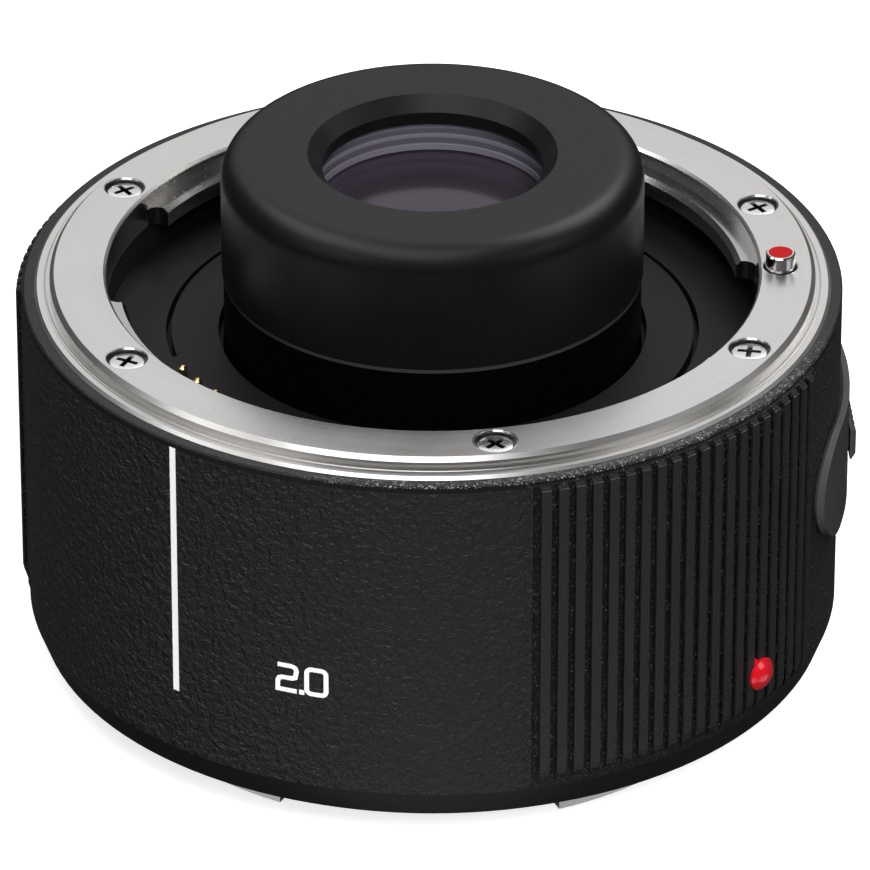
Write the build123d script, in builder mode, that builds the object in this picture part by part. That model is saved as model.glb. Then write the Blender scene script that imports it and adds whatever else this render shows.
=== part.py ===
# A camera teleconverter as an assembly of separate pieces.
# It fits between a camera body and a lens, and both of its ends carry the same bayonet.
# Millimetres. The origin is on the optical axis, in the plane of the camera-side flange.
# +Z points at the lens, and the index mark of the lens side lies on +X.

from build123d import *
from math import asin, atan2, cos, degrees, radians, sin, sqrt
import os

os.makedirs("parts", exist_ok=True)

# Whole converter
flange_gap = 34.5
barrel_wall = 1.6
overrun = 1.0

# Small clearances shared by several seats
seat_gap = 0.1
running_gap = 0.08
slip_gap = 0.02

# A full turn
full_turn_angle = 360

# Bayonet that both ends share
throat_chamfer = 0.25
tab_reach = 1.57
tab_drop = 1.5
tab_thickness = 1.7
tab_root_fillet = 1.1
tab_tip_chamfer = 0.4
leaf_thickness = 0.2
turn_to_lock_angle = 38.6
tab_slack_angle = 1.0
tab_start_angles = (7.8, 99.0, 187.9, 281.6)
tab_end_angles = (62.0, 150.7, 244.6, 330.6)
register_gap = 0.12
register_length = 1.35
tube_gap = 0.2
male_tab_gap = 0.27
male_tab_thickness = 1.15
male_tab_play = 0.05

# Lens-side mount ring
ring_face_width = 5.03
ring_spigot_step = 0.8
ring_ledge_width = 1.46
ring_lip_drop = 1.04
ring_lip_height = 0.36
ring_face_chamfer = 0.42
ring_lip_chamfer = 0.3
shim_thickness = 0.1
shim_inset = 0.9

# Mount screws, alike on both ends
screw_circle_inset = 2.33
screw_head_radius = 1.45
screw_head_height = 0.9
screw_head_sink = 0.35
screw_shank_radius = 0.8
screw_shank_length = 4.6
counterbore_gap = 0.35
lens_screw_angles = (21.3, 87.0, 152.3, 212.0, 279.9, 331.8)
camera_screw_angles = (30.0, 102.0, 168.0, 250.0, 318.0)

# Bayonet spring plate under the lens-side tabs
spring_seat_width = 0.33
leaf_tip_inset = 0.5
leaf_slit = 0.35
leaf_bridge_angle = 7.0
leaf_share = 0.62

# Outer barrel, its grip pads and the rear cover
barrel_top_border = 0.14
barrel_chamfer_width = 0.6
barrel_chamfer_height = 0.6
cover_height = 2.4
cover_taper = 0.9
flange_stand = 0.6
grip_rise = 0.6
grip_top_inset = 1.0
grip_top_height = 0.8
grip_end_height = 1.9
grip_ramp_angle = 1.9
groove_pitch_angle = 2.42
groove_width = 0.65
groove_depth = 0.45
groove_edge_angle = 1.4
front_grip_angle = -77.3
front_groove_count = 22
back_grip_angle = 153.6
back_groove_count = 12

# Chassis
chassis_barrel_gap = 0.6
chassis_wall = 1.0
chassis_well_gap = 0.18
deck_top_depth = 7.3
deck_thickness = 2.0
chassis_foot_height = 3.2
chassis_foot_inset = 1.17
guide_lug_height = 0.8
guide_lug_angle = 5.0
guide_lug_reach = 1.8
board_boss_radius = 2.0
board_boss_inset = 4.6
board_boss_angles = (95.0, 180.0, 300.0)

# Throat floor
floor_hole_gap = 0.49
floor_inner_width = 4.06
floor_groove_width = 0.48
floor_inner_height = 1.4
floor_outer_height = 1.3

# Lens barrel, hood and seam ring
neck_inset = 0.14
neck_top_depth = 0.35
spigot_wall = 4.3
spigot_top_rise = 8.9
hood_wall = 1.59
hood_rise = 11.2
hood_fillet = 2.5
hood_bottom_rise = 0.1
seam_ring_inset = 0.07
seam_ring_height = 0.3
aperture_lip = 2.09
aperture_bevel_width = 1.22
aperture_bevel_height = 1.25
cell_wall = 3.4
barrel_flange_width = 4.35
barrel_flange_height = 1.6
barrel_screw_inset = 2.35
barrel_screw_angles = (40.0, 160.0, 280.0)
small_head_radius = 1.2
small_head_height = 0.7
small_shank_radius = 0.6
small_shank_length = 3.0
light_bore_lip = 1.2

# Glass, front to rear
front_glass_radius = 11.6
front_glass_rim_drop = 1.5
front_glass_rim_height = 3.4
front_glass_curve = 58.0
rear_glass_radius = 12.0
rear_stack_drop = 3.5
second_glass_middle = 0.57
third_glass_height = 3.4
cemented_curve = 45.0
fourth_glass_height = 2.0
fifth_glass_height = 3.2
sixth_glass_height = 1.8
seventh_glass_height = 2.4
rear_glass_curve = 52.0
front_spacer_height = 4.6
rear_spacer_height = 5.1
spacer_wall = 1.6
retaining_wall = 1.45
retaining_seat_width = 0.7
retaining_lap = 1.35
front_retaining_height = 1.1
rear_retaining_height = 1.3

# Lock pin and its spring
lock_circle_inset = 1.83
lock_pin_radius = 1.285
lock_pin_stand = 1.4
lock_hole_gap = 0.23
lock_stroke = 1.6
lock_mark_radius = 1.05
lock_mark_depth = 0.12
lock_pin_chamfer = 0.12
collar_radius = 1.9
collar_height = 1.0
stem_radius = 0.8
spring_wire_radius = 0.16
spring_coil_radius = 1.25
spring_turn_count = 3
spring_side_count = 6
peg_radius = 0.45
peg_drop_below_lug = 2.3
peg_tip_gap = 0.1
stem_tail = 1.2

# Release plate, knob and slider
release_centre_angle = 4.5
release_drop = 8.0
release_plate_length = 32.2
release_plate_height = 10.4
release_plate_lift = 1.15
release_plate_rise = 0.85
release_plate_chamfer = 0.3
release_travel_angle = 7.0
knob_angle = 3.5
knob_length = 6.0
knob_height = 3.0
knob_rise = 0.55
knob_chamfer = 0.4
knob_ridge_count = 5
knob_ridge_width = 0.5
knob_ridge_depth = 0.18
neck_length = 2.4
neck_height = 1.5
slider_thickness = 0.9
slider_height = 5.6
slider_angle = 10.0
window_slack_angle = 1.0
cam_gap = 0.1
arrow_angle = -9.5
arrow_length = 2.4
arrow_height = 2.6
arrow_depth = 0.15

# Red index bead on the barrel
bead_angle = -38.6
bead_rise = 4.1
bead_radius = 1.5
bead_stand = 0.85
bead_shoulder = 0.15
bead_seat_depth = 1.0

# Lens-side contacts
contact_line_inset = 1.4
contact_first_angle = 207.9
contact_pitch_angle = 6.1
contact_count = 10
contact_block_width = 2.9
contact_block_tab_gap = 1.0
contact_block_depth = 4.3
contact_block_margin_angle = 7.5
contact_block_fillet = 0.6
contact_pin_radius = 0.35
contact_pin_length = 2.4
contact_pin_crown = 0.2
contact_pin_stand = 0.8
contact_stroke = 0.75

# Camera-side ring, cover and baffle
camera_ring_width = 4.03
camera_ring_height = 2.2
camera_tube_wall = 0.8
camera_ring_chamfer = 0.2
seal_width = 1.3
seal_height = 0.8
seal_stand = 0.3
seal_lip_width = 0.4
lock_notch_radius = 1.45
lock_notch_depth = 1.7
baffle_wall = 1.2
baffle_plate_height = 1.1
baffle_face_depth = 3.4
baffle_flange_lap = 1.0
baffle_window_width = 30.0
baffle_window_height = 22.0
baffle_window_corner = 3.0
baffle_rim_width = 1.2
baffle_rim_height = 0.4
camera_block_inset = 1.4
camera_block_depth = 3.9
pad_length = 1.5
pad_width = 1.3
pad_height = 0.1

# Electronics
board_inner_gap = 0.3
board_outer_gap = 0.3
board_thickness = 1.0
board_boss_drop = 4.4
board_start_angle = 62.0
board_sweep_angle = 272.0
controller_size = 6.0
controller_height = 1.0
controller_angle = 140.0
memory_length = 4.0
memory_width = 3.0
memory_height = 0.9
memory_angle = 205.0
chip_inset = 4.3
flex_thickness = 0.4
flex_width = 5.0
rear_flex_inset = 0.3
flex_slot_gap = 0.3

# Radii of the glass and the lens barrel, from the front glass outward
front_retaining_radius = front_glass_radius + retaining_seat_width
front_retaining_inner = front_glass_radius - retaining_lap
light_bore_radius = front_glass_radius - light_bore_lip
aperture_radius = front_glass_radius - aperture_lip
aperture_bevel_radius = aperture_radius + aperture_bevel_width
spigot_radius = front_retaining_radius + spigot_wall
hood_radius = spigot_radius + hood_wall
neck_radius = hood_radius - neck_inset
seam_ring_radius = hood_radius - seam_ring_inset
cell_radius = rear_glass_radius + cell_wall
barrel_flange_radius = neck_radius + barrel_flange_width
barrel_screw_circle = neck_radius + barrel_screw_inset

# Radii of the throat and both mount rings, from the neck outward
floor_hole_radius = neck_radius + floor_hole_gap
floor_step_radius = floor_hole_radius + floor_inner_width
floor_outer_inner_radius = floor_step_radius + floor_groove_width
contact_block_inner = floor_step_radius + seat_gap
contact_circle_radius = contact_block_inner + contact_line_inset
contact_block_outer = contact_block_inner + contact_block_width
tab_tip_radius = contact_block_outer + contact_block_tab_gap
throat_radius = tab_tip_radius + tab_reach
register_radius = throat_radius - register_gap
male_tab_radius = throat_radius - male_tab_gap
tube_radius = tab_tip_radius - tube_gap
camera_tube_inner = tube_radius - camera_tube_wall
camera_ring_radius = throat_radius + camera_ring_width
camera_block_inner = contact_circle_radius - camera_block_inset
screw_circle_radius = throat_radius + screw_circle_inset
lock_circle_radius = throat_radius + lock_circle_inset
spring_inner_radius = throat_radius + spring_seat_width
ring_face_radius = throat_radius + ring_face_width
ring_spigot_radius = ring_face_radius + ring_spigot_step
ring_lip_radius = ring_face_radius + ring_ledge_width

# Radii of the outer barrel and the chassis, from the mount ring outward
barrel_top_radius = ring_lip_radius + barrel_top_border
barrel_radius = barrel_top_radius + barrel_chamfer_width
barrel_inner = barrel_radius - barrel_wall
grip_radius = barrel_radius + grip_rise
cover_foot_radius = barrel_radius - cover_taper
chassis_radius = barrel_inner - chassis_barrel_gap
chassis_well_radius = throat_radius + chassis_well_gap
chassis_cavity_radius = chassis_radius - chassis_wall
chassis_foot_radius = throat_radius - chassis_foot_inset
baffle_flange_radius = chassis_foot_radius + baffle_flange_lap
board_boss_circle = chassis_cavity_radius - board_boss_inset
board_inner_radius = barrel_flange_radius + board_inner_gap
board_outer_radius = chassis_cavity_radius - board_outer_gap
chip_circle_radius = board_inner_radius + chip_inset
rear_flex_radius = board_inner_radius + rear_flex_inset

# Heights that hang from the lens-side flange
ring_bottom = flange_gap - tab_drop - tab_thickness
leaf_bottom = ring_bottom - leaf_thickness
chassis_top = leaf_bottom - shim_thickness
ring_lip_top = flange_gap - ring_lip_drop
barrel_top = ring_lip_top - ring_lip_height
deck_top = flange_gap - deck_top_depth
deck_bottom = deck_top - deck_thickness
floor_inner_top = deck_top + floor_inner_height
neck_top = flange_gap - neck_top_depth
spigot_top = flange_gap + spigot_top_rise
hood_top = flange_gap + hood_rise
release_height = deck_bottom - release_drop
lug_bottom = release_height + slider_height / 2 + running_gap
lug_top = lug_bottom + guide_lug_height
collar_top = deck_bottom - running_gap
collar_bottom = collar_top - collar_height
peg_height = lug_bottom - peg_drop_below_lug
board_bottom = deck_bottom - board_boss_drop - board_thickness

# Heights that stand on the camera-side flange, and those of its outward tabs below it
cover_top = flange_stand + cover_height
bead_height = cover_top + bead_rise
male_tab_top = -(tab_drop + tab_thickness + leaf_thickness + male_tab_play)
male_tab_bottom = male_tab_top - male_tab_thickness


def spot(radius, angle):
    """Point at a radius and an angle around the optical axis."""
    return (radius * cos(radians(angle)), radius * sin(radians(angle)))


def radial_plane(angle):
    """Plane through the optical axis: local x points outward, local y points up."""
    outward = (cos(radians(angle)), sin(radians(angle)), 0)
    sideways = (sin(radians(angle)), -cos(radians(angle)), 0)
    return Plane(origin=(0, 0, 0), x_dir=outward, z_dir=sideways)


def facing_plane(angle, height):
    """Plane at the axis that faces outward: local x runs around, local y points up."""
    outward = (cos(radians(angle)), sin(radians(angle)), 0)
    around = (-sin(radians(angle)), cos(radians(angle)), 0)
    return Plane(origin=(0, 0, height), x_dir=around, z_dir=outward)


def outline(*points, plane=Plane.XZ):
    """Closed face through (radius, height) points."""
    with BuildSketch(plane) as shape:
        with BuildLine():
            Polyline(*points, close=True)
        make_face()
    return shape.sketch


def ring_outline(inner, outer, bottom, top):
    """Rectangular section of a plain ring."""
    return outline((inner, bottom), (outer, bottom), (outer, top), (inner, top))


def sector(inner, outer, start, sweep, height):
    """Flat ring segment at a height."""
    with BuildSketch(Plane.XY.offset(height)) as shape:
        with BuildLine():
            far = CenterArc((0, 0), outer, start, sweep)
            near = CenterArc((0, 0), inner, start, sweep)
            Line(near @ 0, far @ 0)
            Line(near @ 1, far @ 1)
        make_face()
    return shape.sketch


def discs(radius, spots, height):
    """Equal circles at several places of one level."""
    with BuildSketch(Plane.XY.offset(height)) as shape:
        with Locations(*spots):
            Circle(radius)
    return shape.sketch


def reach(point):
    """Distance of a point from the optical axis."""
    return sqrt(point.X**2 + point.Y**2)


def dome(rim_radius, curve):
    """Rise of a spherical glass surface over its rim."""
    return curve - sqrt(curve**2 - rim_radius**2)


def dome_arc(rim_radius, rim_height, curve):
    """Arc of a surface that bulges upward, from its rim to the optical axis."""
    centre_height = rim_height + dome(rim_radius, curve) - curve
    half_angle = degrees(asin(rim_radius / curve))
    return CenterArc((0, centre_height), curve, 90 - half_angle, half_angle)


def rim(piece, radius, height):
    """Circular edges of a piece at a radius and a height."""
    circles = piece.edges().filter_by(GeomType.CIRCLE)
    level = [edge for edge in circles if abs(edge.center().Z - height) < slip_gap]
    return [edge for edge in level if abs(edge.radius - radius) < slip_gap]


def uprights(piece, radius, middle):
    """Vertical edges of a piece at a radius, whose middle is at a height."""
    upright = piece.edges().filter_by(Axis.Z)
    level = [edge for edge in upright if abs(edge.center().Z - middle) < slip_gap]
    return [edge for edge in level if abs(reach(edge.center()) - radius) < slip_gap]


def keep(piece, name):
    """Label a finished piece and write it as its own STEP file."""
    piece.part.label = name
    export_step(piece.part, f"parts/{name}.step")


# Heights of the rear glass stack, from its top down
rear_stack_top = flange_gap - rear_stack_drop
second_bottom = rear_stack_top - second_glass_middle - dome(rear_glass_radius, cemented_curve)
third_bottom = second_bottom - third_glass_height
fourth_top = third_bottom - front_spacer_height
fourth_bottom = fourth_top - fourth_glass_height
fifth_bottom = fourth_bottom - fifth_glass_height
sixth_top = fifth_bottom - rear_spacer_height
sixth_bottom = sixth_top - sixth_glass_height
seventh_bottom = sixth_bottom - seventh_glass_height
cell_bottom = seventh_bottom - rear_retaining_height

# Places that several pieces share
lens_screw_spots = [spot(screw_circle_radius, angle) for angle in lens_screw_angles]
camera_screw_spots = [spot(screw_circle_radius, angle) for angle in camera_screw_angles]
lock_spot = spot(lock_circle_radius, 0)
board_boss_spots = [spot(board_boss_circle, angle) for angle in board_boss_angles]
barrel_screw_spots = [spot(barrel_screw_circle, angle) for angle in barrel_screw_angles]
contact_angles = [contact_first_angle + i * contact_pitch_angle for i in range(contact_count)]
contact_spots = [spot(contact_circle_radius, angle) for angle in contact_angles]
counterbore_radius = screw_head_radius + counterbore_gap
counterbore_depth = screw_head_sink + screw_head_height

# Lens-side mount ring with its four inward tabs
with BuildPart() as lens_mount_ring:
    with BuildSketch(Plane.XZ):
        with BuildLine():
            Polyline(
                (throat_radius, ring_bottom),
                (ring_spigot_radius, ring_bottom),
                (ring_spigot_radius, barrel_top),
                (ring_lip_radius, barrel_top),
                (ring_lip_radius, ring_lip_top - ring_lip_chamfer),
                (ring_lip_radius - ring_lip_chamfer, ring_lip_top),
                (ring_face_radius + ring_face_chamfer, ring_lip_top),
                (ring_face_radius + ring_face_chamfer, flange_gap - ring_face_chamfer),
                (ring_face_radius, flange_gap),
                (throat_radius + throat_chamfer, flange_gap),
                (throat_radius, flange_gap - throat_chamfer),
                close=True,
            )
        make_face()
    revolve(axis=Axis.Z)
    tab_top = ring_bottom + tab_thickness
    for start, end in zip(tab_start_angles, tab_end_angles):
        root_radius = throat_radius + seat_gap
        extrude(sector(tab_tip_radius, root_radius, start, end - start, ring_bottom), amount=tab_thickness)
    chamfer(rim(lens_mount_ring, tab_tip_radius, tab_top), length=tab_tip_chamfer)
    tab_middle = ring_bottom + tab_thickness / 2
    fillet(uprights(lens_mount_ring, throat_radius, tab_middle), radius=tab_root_fillet)
    screw_holes = discs(screw_shank_radius + seat_gap, lens_screw_spots, ring_bottom)
    extrude(screw_holes, amount=flange_gap, mode=Mode.SUBTRACT)
    bore_floor = flange_gap - counterbore_depth
    counterbores = discs(counterbore_radius, lens_screw_spots, bore_floor)
    extrude(counterbores, amount=flange_gap, mode=Mode.SUBTRACT)
    lock_hole = discs(lock_pin_radius + lock_hole_gap, [lock_spot], ring_bottom)
    extrude(lock_hole, amount=flange_gap, mode=Mode.SUBTRACT)
keep(lens_mount_ring, "lens_mount_ring")

# Six screws that hold the lens-side ring on the chassis
with BuildPart() as lens_mount_screws:
    extrude(discs(screw_head_radius, lens_screw_spots, bore_floor), amount=screw_head_height)
    extrude(discs(screw_shank_radius, lens_screw_spots, bore_floor), amount=-screw_shank_length)
keep(lens_mount_screws, "lens_mount_screws")

# Thin plate whose four leaves pull a lens against the ring
with BuildPart() as bayonet_spring:
    plate_outer = ring_face_radius - shim_inset
    revolve(ring_outline(spring_inner_radius, plate_outer, leaf_bottom, ring_bottom), axis=Axis.Z)
    leaf_tip = tab_tip_radius + leaf_tip_inset
    leaf_root = spring_inner_radius - leaf_slit
    for start, end in zip(tab_start_angles, tab_end_angles):
        leaf_sweep = (end - start) * leaf_share
        leaf_start = start + (end - start - leaf_sweep) / 2
        extrude(sector(leaf_tip, leaf_root, leaf_start, leaf_sweep, leaf_bottom), amount=leaf_thickness)
        bridge_outer = spring_inner_radius + seat_gap
        bridge_inner = leaf_root - seat_gap
        bridge = sector(bridge_inner, bridge_outer, leaf_start, leaf_bridge_angle, leaf_bottom)
        extrude(bridge, amount=leaf_thickness)
    spring_holes = discs(screw_shank_radius + seat_gap, lens_screw_spots, leaf_bottom)
    extrude(spring_holes, amount=leaf_thickness, mode=Mode.SUBTRACT)
    lock_hole = discs(lock_pin_radius + lock_hole_gap, [lock_spot], leaf_bottom)
    extrude(lock_hole, amount=leaf_thickness, mode=Mode.SUBTRACT)
keep(bayonet_spring, "bayonet_spring")

# Shim that sets the distance between the two flanges
with BuildPart() as lens_mount_shim:
    revolve(ring_outline(spring_inner_radius, plate_outer, chassis_top, leaf_bottom), axis=Axis.Z)
    shim_holes = discs(screw_shank_radius + seat_gap, lens_screw_spots, chassis_top)
    extrude(shim_holes, amount=shim_thickness, mode=Mode.SUBTRACT)
    lock_hole = discs(lock_pin_radius + lock_hole_gap, [lock_spot], chassis_top)
    extrude(lock_hole, amount=shim_thickness, mode=Mode.SUBTRACT)
keep(lens_mount_shim, "lens_mount_shim")

# Chassis: outer wall, screw flange, deck under the throat, foot, bosses and guide lug
slider_outer = chassis_radius
slider_inner = slider_outer - slider_thickness
with BuildPart() as chassis:
    with BuildSketch(Plane.XZ):
        with BuildLine():
            Polyline(
                (chassis_foot_radius, cover_top),
                (chassis_radius, cover_top),
                (chassis_radius, chassis_top),
                (chassis_well_radius, chassis_top),
                (chassis_well_radius, deck_top),
                (neck_radius + seat_gap, deck_top),
                (neck_radius + seat_gap, deck_bottom),
                (chassis_cavity_radius, deck_bottom),
                (chassis_cavity_radius, cover_top + chassis_foot_height),
                (chassis_foot_radius, cover_top + chassis_foot_height),
                close=True,
            )
        make_face()
    revolve(axis=Axis.Z)
    lug_inner = lock_circle_radius - guide_lug_reach
    lug_outer = chassis_cavity_radius + seat_gap
    lug = sector(lug_inner, lug_outer, -guide_lug_angle, 2 * guide_lug_angle, lug_bottom)
    extrude(lug, amount=guide_lug_height)
    extrude(discs(board_boss_radius, board_boss_spots, deck_bottom), amount=-board_boss_drop)
    screw_bottom = bore_floor - screw_shank_length
    lens_holes = discs(screw_shank_radius, lens_screw_spots, screw_bottom)
    extrude(lens_holes, amount=flange_gap, mode=Mode.SUBTRACT)
    camera_screw_top = counterbore_depth + screw_shank_length
    camera_holes = discs(screw_shank_radius, camera_screw_spots, camera_screw_top)
    extrude(camera_holes, amount=-flange_gap, mode=Mode.SUBTRACT)
    guide = discs(lock_pin_radius + running_gap, [lock_spot], deck_bottom)
    extrude(guide, amount=flange_gap, mode=Mode.SUBTRACT)
    stem_guide = discs(stem_radius + running_gap, [lock_spot], lug_bottom)
    extrude(stem_guide, amount=guide_lug_height, mode=Mode.SUBTRACT)
    window_bottom = release_height - slider_height / 2 - running_gap
    window_start = knob_angle - release_travel_angle - slider_angle - window_slack_angle
    window_sweep = release_travel_angle + 2 * (slider_angle + window_slack_angle)
    window_inner = chassis_cavity_radius - chassis_wall
    window = sector(window_inner, chassis_radius + overrun, window_start, window_sweep, window_bottom)
    extrude(window, amount=slider_height + 2 * running_gap, mode=Mode.SUBTRACT)
    flex_angle = contact_first_angle + contact_pitch_angle * (contact_count - 1) / 2
    flex_plane = facing_plane(flex_angle, deck_bottom)
    with BuildSketch(flex_plane.offset(contact_circle_radius)):
        Rectangle(flex_width + 2 * flex_slot_gap, flange_gap)
    extrude(amount=flex_thickness / 2 + flex_slot_gap, both=True, mode=Mode.SUBTRACT)
    board_holes = discs(small_shank_radius, board_boss_spots, deck_bottom - board_boss_drop)
    extrude(board_holes, amount=small_shank_length, mode=Mode.SUBTRACT)
    barrel_holes = discs(small_shank_radius, barrel_screw_spots, deck_bottom)
    barrel_hole_depth = small_shank_length - barrel_flange_height
    extrude(barrel_holes, amount=barrel_hole_depth, mode=Mode.SUBTRACT)
keep(chassis, "chassis")

# Fixed floor plates round the neck, with the dark groove between them
block_start = contact_first_angle - contact_block_margin_angle
block_sweep = contact_pitch_angle * (contact_count - 1) + 2 * contact_block_margin_angle
with BuildPart() as throat_floor_inner:
    revolve(ring_outline(floor_hole_radius, floor_step_radius, deck_top, floor_inner_top), axis=Axis.Z)
keep(throat_floor_inner, "throat_floor_inner")

with BuildPart() as throat_floor_outer:
    floor_edge = chassis_well_radius - seat_gap
    floor_outer_top = deck_top + floor_outer_height
    revolve(ring_outline(floor_outer_inner_radius, floor_edge, deck_top, floor_outer_top), axis=Axis.Z)
    pocket_edge = contact_block_outer + seat_gap
    pocket_gap_angle = degrees(seat_gap / pocket_edge)
    pocket_start = block_start - pocket_gap_angle
    pocket_sweep = block_sweep + 2 * pocket_gap_angle
    pocket = sector(floor_step_radius, pocket_edge, pocket_start, pocket_sweep, deck_top)
    extrude(pocket, amount=floor_outer_height, mode=Mode.SUBTRACT)
keep(throat_floor_outer, "throat_floor_outer")

# Contact block and its ten sprung pins
contact_block_top = flange_gap - contact_block_depth
contact_pin_top = contact_block_top + contact_pin_stand
contact_pin_bottom = contact_pin_top - contact_pin_length
with BuildPart() as lens_contact_block:
    block_height = contact_block_top - deck_top
    block_face = sector(contact_block_inner, contact_block_outer, block_start, block_sweep, deck_top)
    extrude(block_face, amount=block_height)
    fillet(lens_contact_block.edges().filter_by(Axis.Z), radius=contact_block_fillet)
    pin_well_bottom = contact_pin_bottom - contact_stroke - seat_gap
    pin_wells = discs(contact_pin_radius + slip_gap, contact_spots, pin_well_bottom)
    extrude(pin_wells, amount=block_height, mode=Mode.SUBTRACT)
keep(lens_contact_block, "lens_contact_block")

with BuildPart() as lens_contact_pins:
    extrude(discs(contact_pin_radius, contact_spots, contact_pin_bottom), amount=contact_pin_length)
    chamfer(rim(lens_contact_pins, contact_pin_radius, contact_pin_top), length=contact_pin_crown)
keep(lens_contact_pins, "lens_contact_pins")

# Lens barrel: cell below the deck, flange, neck through the throat floor, spigot inside the hood
front_rim_top = spigot_top - front_glass_rim_drop
front_rim_bottom = front_rim_top - front_glass_rim_height
flange_bottom = deck_bottom - barrel_flange_height
rear_bore_radius = rear_glass_radius + slip_gap
with BuildPart() as lens_barrel:
    with BuildSketch(Plane.XZ):
        with BuildLine():
            Polyline(
                (rear_bore_radius, cell_bottom),
                (cell_radius, cell_bottom),
                (cell_radius, flange_bottom),
                (barrel_flange_radius, flange_bottom),
                (barrel_flange_radius, deck_bottom),
                (neck_radius, deck_bottom),
                (neck_radius, neck_top),
                (spigot_radius, neck_top),
                (spigot_radius, spigot_top),
                (front_retaining_radius + slip_gap, spigot_top),
                (front_retaining_radius + slip_gap, front_rim_top),
                (front_glass_radius + slip_gap, front_rim_top),
                (front_glass_radius + slip_gap, front_rim_bottom),
                (light_bore_radius, front_rim_bottom),
                (light_bore_radius, rear_stack_top),
                (rear_bore_radius, rear_stack_top),
                close=True,
            )
        make_face()
    revolve(axis=Axis.Z)
    flange_holes = discs(small_shank_radius + seat_gap, barrel_screw_spots, flange_bottom)
    extrude(flange_holes, amount=barrel_flange_height, mode=Mode.SUBTRACT)
keep(lens_barrel, "lens_barrel")

# Screws that hold the lens barrel under the deck
with BuildPart() as barrel_screws:
    extrude(discs(small_head_radius, barrel_screw_spots, flange_bottom), amount=-small_head_height)
    extrude(discs(small_shank_radius, barrel_screw_spots, flange_bottom), amount=small_shank_length)
keep(barrel_screws, "barrel_screws")

# Hood over the front of the lens barrel, with the bevelled aperture
with BuildPart() as front_hood:
    with BuildSketch(Plane.XZ):
        with BuildLine():
            Polyline(
                (spigot_radius + slip_gap, flange_gap + hood_bottom_rise),
                (hood_radius, flange_gap + hood_bottom_rise),
                (hood_radius, hood_top),
                (aperture_bevel_radius, hood_top),
                (aperture_radius, hood_top - aperture_bevel_height),
                (aperture_radius, spigot_top),
                (spigot_radius + slip_gap, spigot_top),
                close=True,
            )
        make_face()
    revolve(axis=Axis.Z)
    fillet(rim(front_hood, hood_radius, hood_top), radius=hood_fillet)
keep(front_hood, "front_hood")

with BuildPart() as hood_seam_ring:
    seam_ring_top = neck_top + seam_ring_height
    revolve(ring_outline(spigot_radius + slip_gap, seam_ring_radius, neck_top, seam_ring_top), axis=Axis.Z)
keep(hood_seam_ring, "hood_seam_ring")

# Front glass under its retaining ring
with BuildPart() as front_retaining_ring:
    retaining_top = front_rim_top + front_retaining_height
    ring_face = ring_outline(front_retaining_inner, front_retaining_radius, front_rim_top, retaining_top)
    revolve(ring_face, axis=Axis.Z)
keep(front_retaining_ring, "front_retaining_ring")

with BuildPart() as front_glass:
    with BuildSketch(Plane.XZ):
        with BuildLine():
            face_arc = dome_arc(front_retaining_inner, front_rim_top, front_glass_curve)
            Polyline(
                face_arc @ 1,
                (0, front_rim_bottom),
                (front_glass_radius, front_rim_bottom),
                (front_glass_radius, front_rim_top),
                face_arc @ 0,
            )
        make_face()
    revolve(axis=Axis.Z)
keep(front_glass, "front_glass")

# Cemented pair behind the neck
with BuildPart() as second_glass:
    with BuildSketch(Plane.XZ):
        with BuildLine():
            cement_arc = dome_arc(rear_glass_radius, second_bottom, cemented_curve)
            Polyline(
                cement_arc @ 1,
                (0, rear_stack_top),
                (rear_glass_radius, rear_stack_top),
                cement_arc @ 0,
            )
        make_face()
    revolve(axis=Axis.Z)
keep(second_glass, "second_glass")

with BuildPart() as third_glass:
    with BuildSketch(Plane.XZ):
        with BuildLine():
            cement_arc = dome_arc(rear_glass_radius, second_bottom, cemented_curve)
            Polyline(cement_arc @ 1, (0, third_bottom), (rear_glass_radius, third_bottom), cement_arc @ 0)
        make_face()
    revolve(axis=Axis.Z)
keep(third_glass, "third_glass")

# Middle and rear pairs with the two spacers between the groups
with BuildPart() as front_spacer:
    spacer_inner = rear_glass_radius - spacer_wall
    revolve(ring_outline(spacer_inner, rear_glass_radius, fourth_top, third_bottom), axis=Axis.Z)
keep(front_spacer, "front_spacer")

with BuildPart() as fourth_glass:
    revolve(ring_outline(0, rear_glass_radius, fourth_bottom, fourth_top), axis=Axis.Z)
keep(fourth_glass, "fourth_glass")

with BuildPart() as fifth_glass:
    revolve(ring_outline(0, rear_glass_radius, fifth_bottom, fourth_bottom), axis=Axis.Z)
keep(fifth_glass, "fifth_glass")

with BuildPart() as rear_spacer:
    revolve(ring_outline(spacer_inner, rear_glass_radius, sixth_top, fifth_bottom), axis=Axis.Z)
keep(rear_spacer, "rear_spacer")

with BuildPart() as sixth_glass:
    revolve(ring_outline(0, rear_glass_radius, sixth_bottom, sixth_top), axis=Axis.Z)
keep(sixth_glass, "sixth_glass")

with BuildPart() as seventh_glass:
    retaining_inner = rear_glass_radius - retaining_wall
    with BuildSketch(Plane.XZ):
        with BuildLine():
            sag = dome(retaining_inner, rear_glass_curve)
            Line((0, sixth_bottom), (rear_glass_radius, sixth_bottom))
            Line((rear_glass_radius, sixth_bottom), (rear_glass_radius, seventh_bottom))
            Line((rear_glass_radius, seventh_bottom), (retaining_inner, seventh_bottom))
            half_angle = degrees(asin(retaining_inner / rear_glass_curve))
            centre_height = seventh_bottom - sag + rear_glass_curve
            rear_arc = CenterArc((0, centre_height), rear_glass_curve, -90, half_angle)
            Line(rear_arc @ 0, (0, sixth_bottom))
        make_face()
    revolve(axis=Axis.Z)
keep(seventh_glass, "seventh_glass")

with BuildPart() as rear_retaining_ring:
    revolve(ring_outline(retaining_inner, rear_glass_radius, cell_bottom, seventh_bottom), axis=Axis.Z)
keep(rear_retaining_ring, "rear_retaining_ring")

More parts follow.
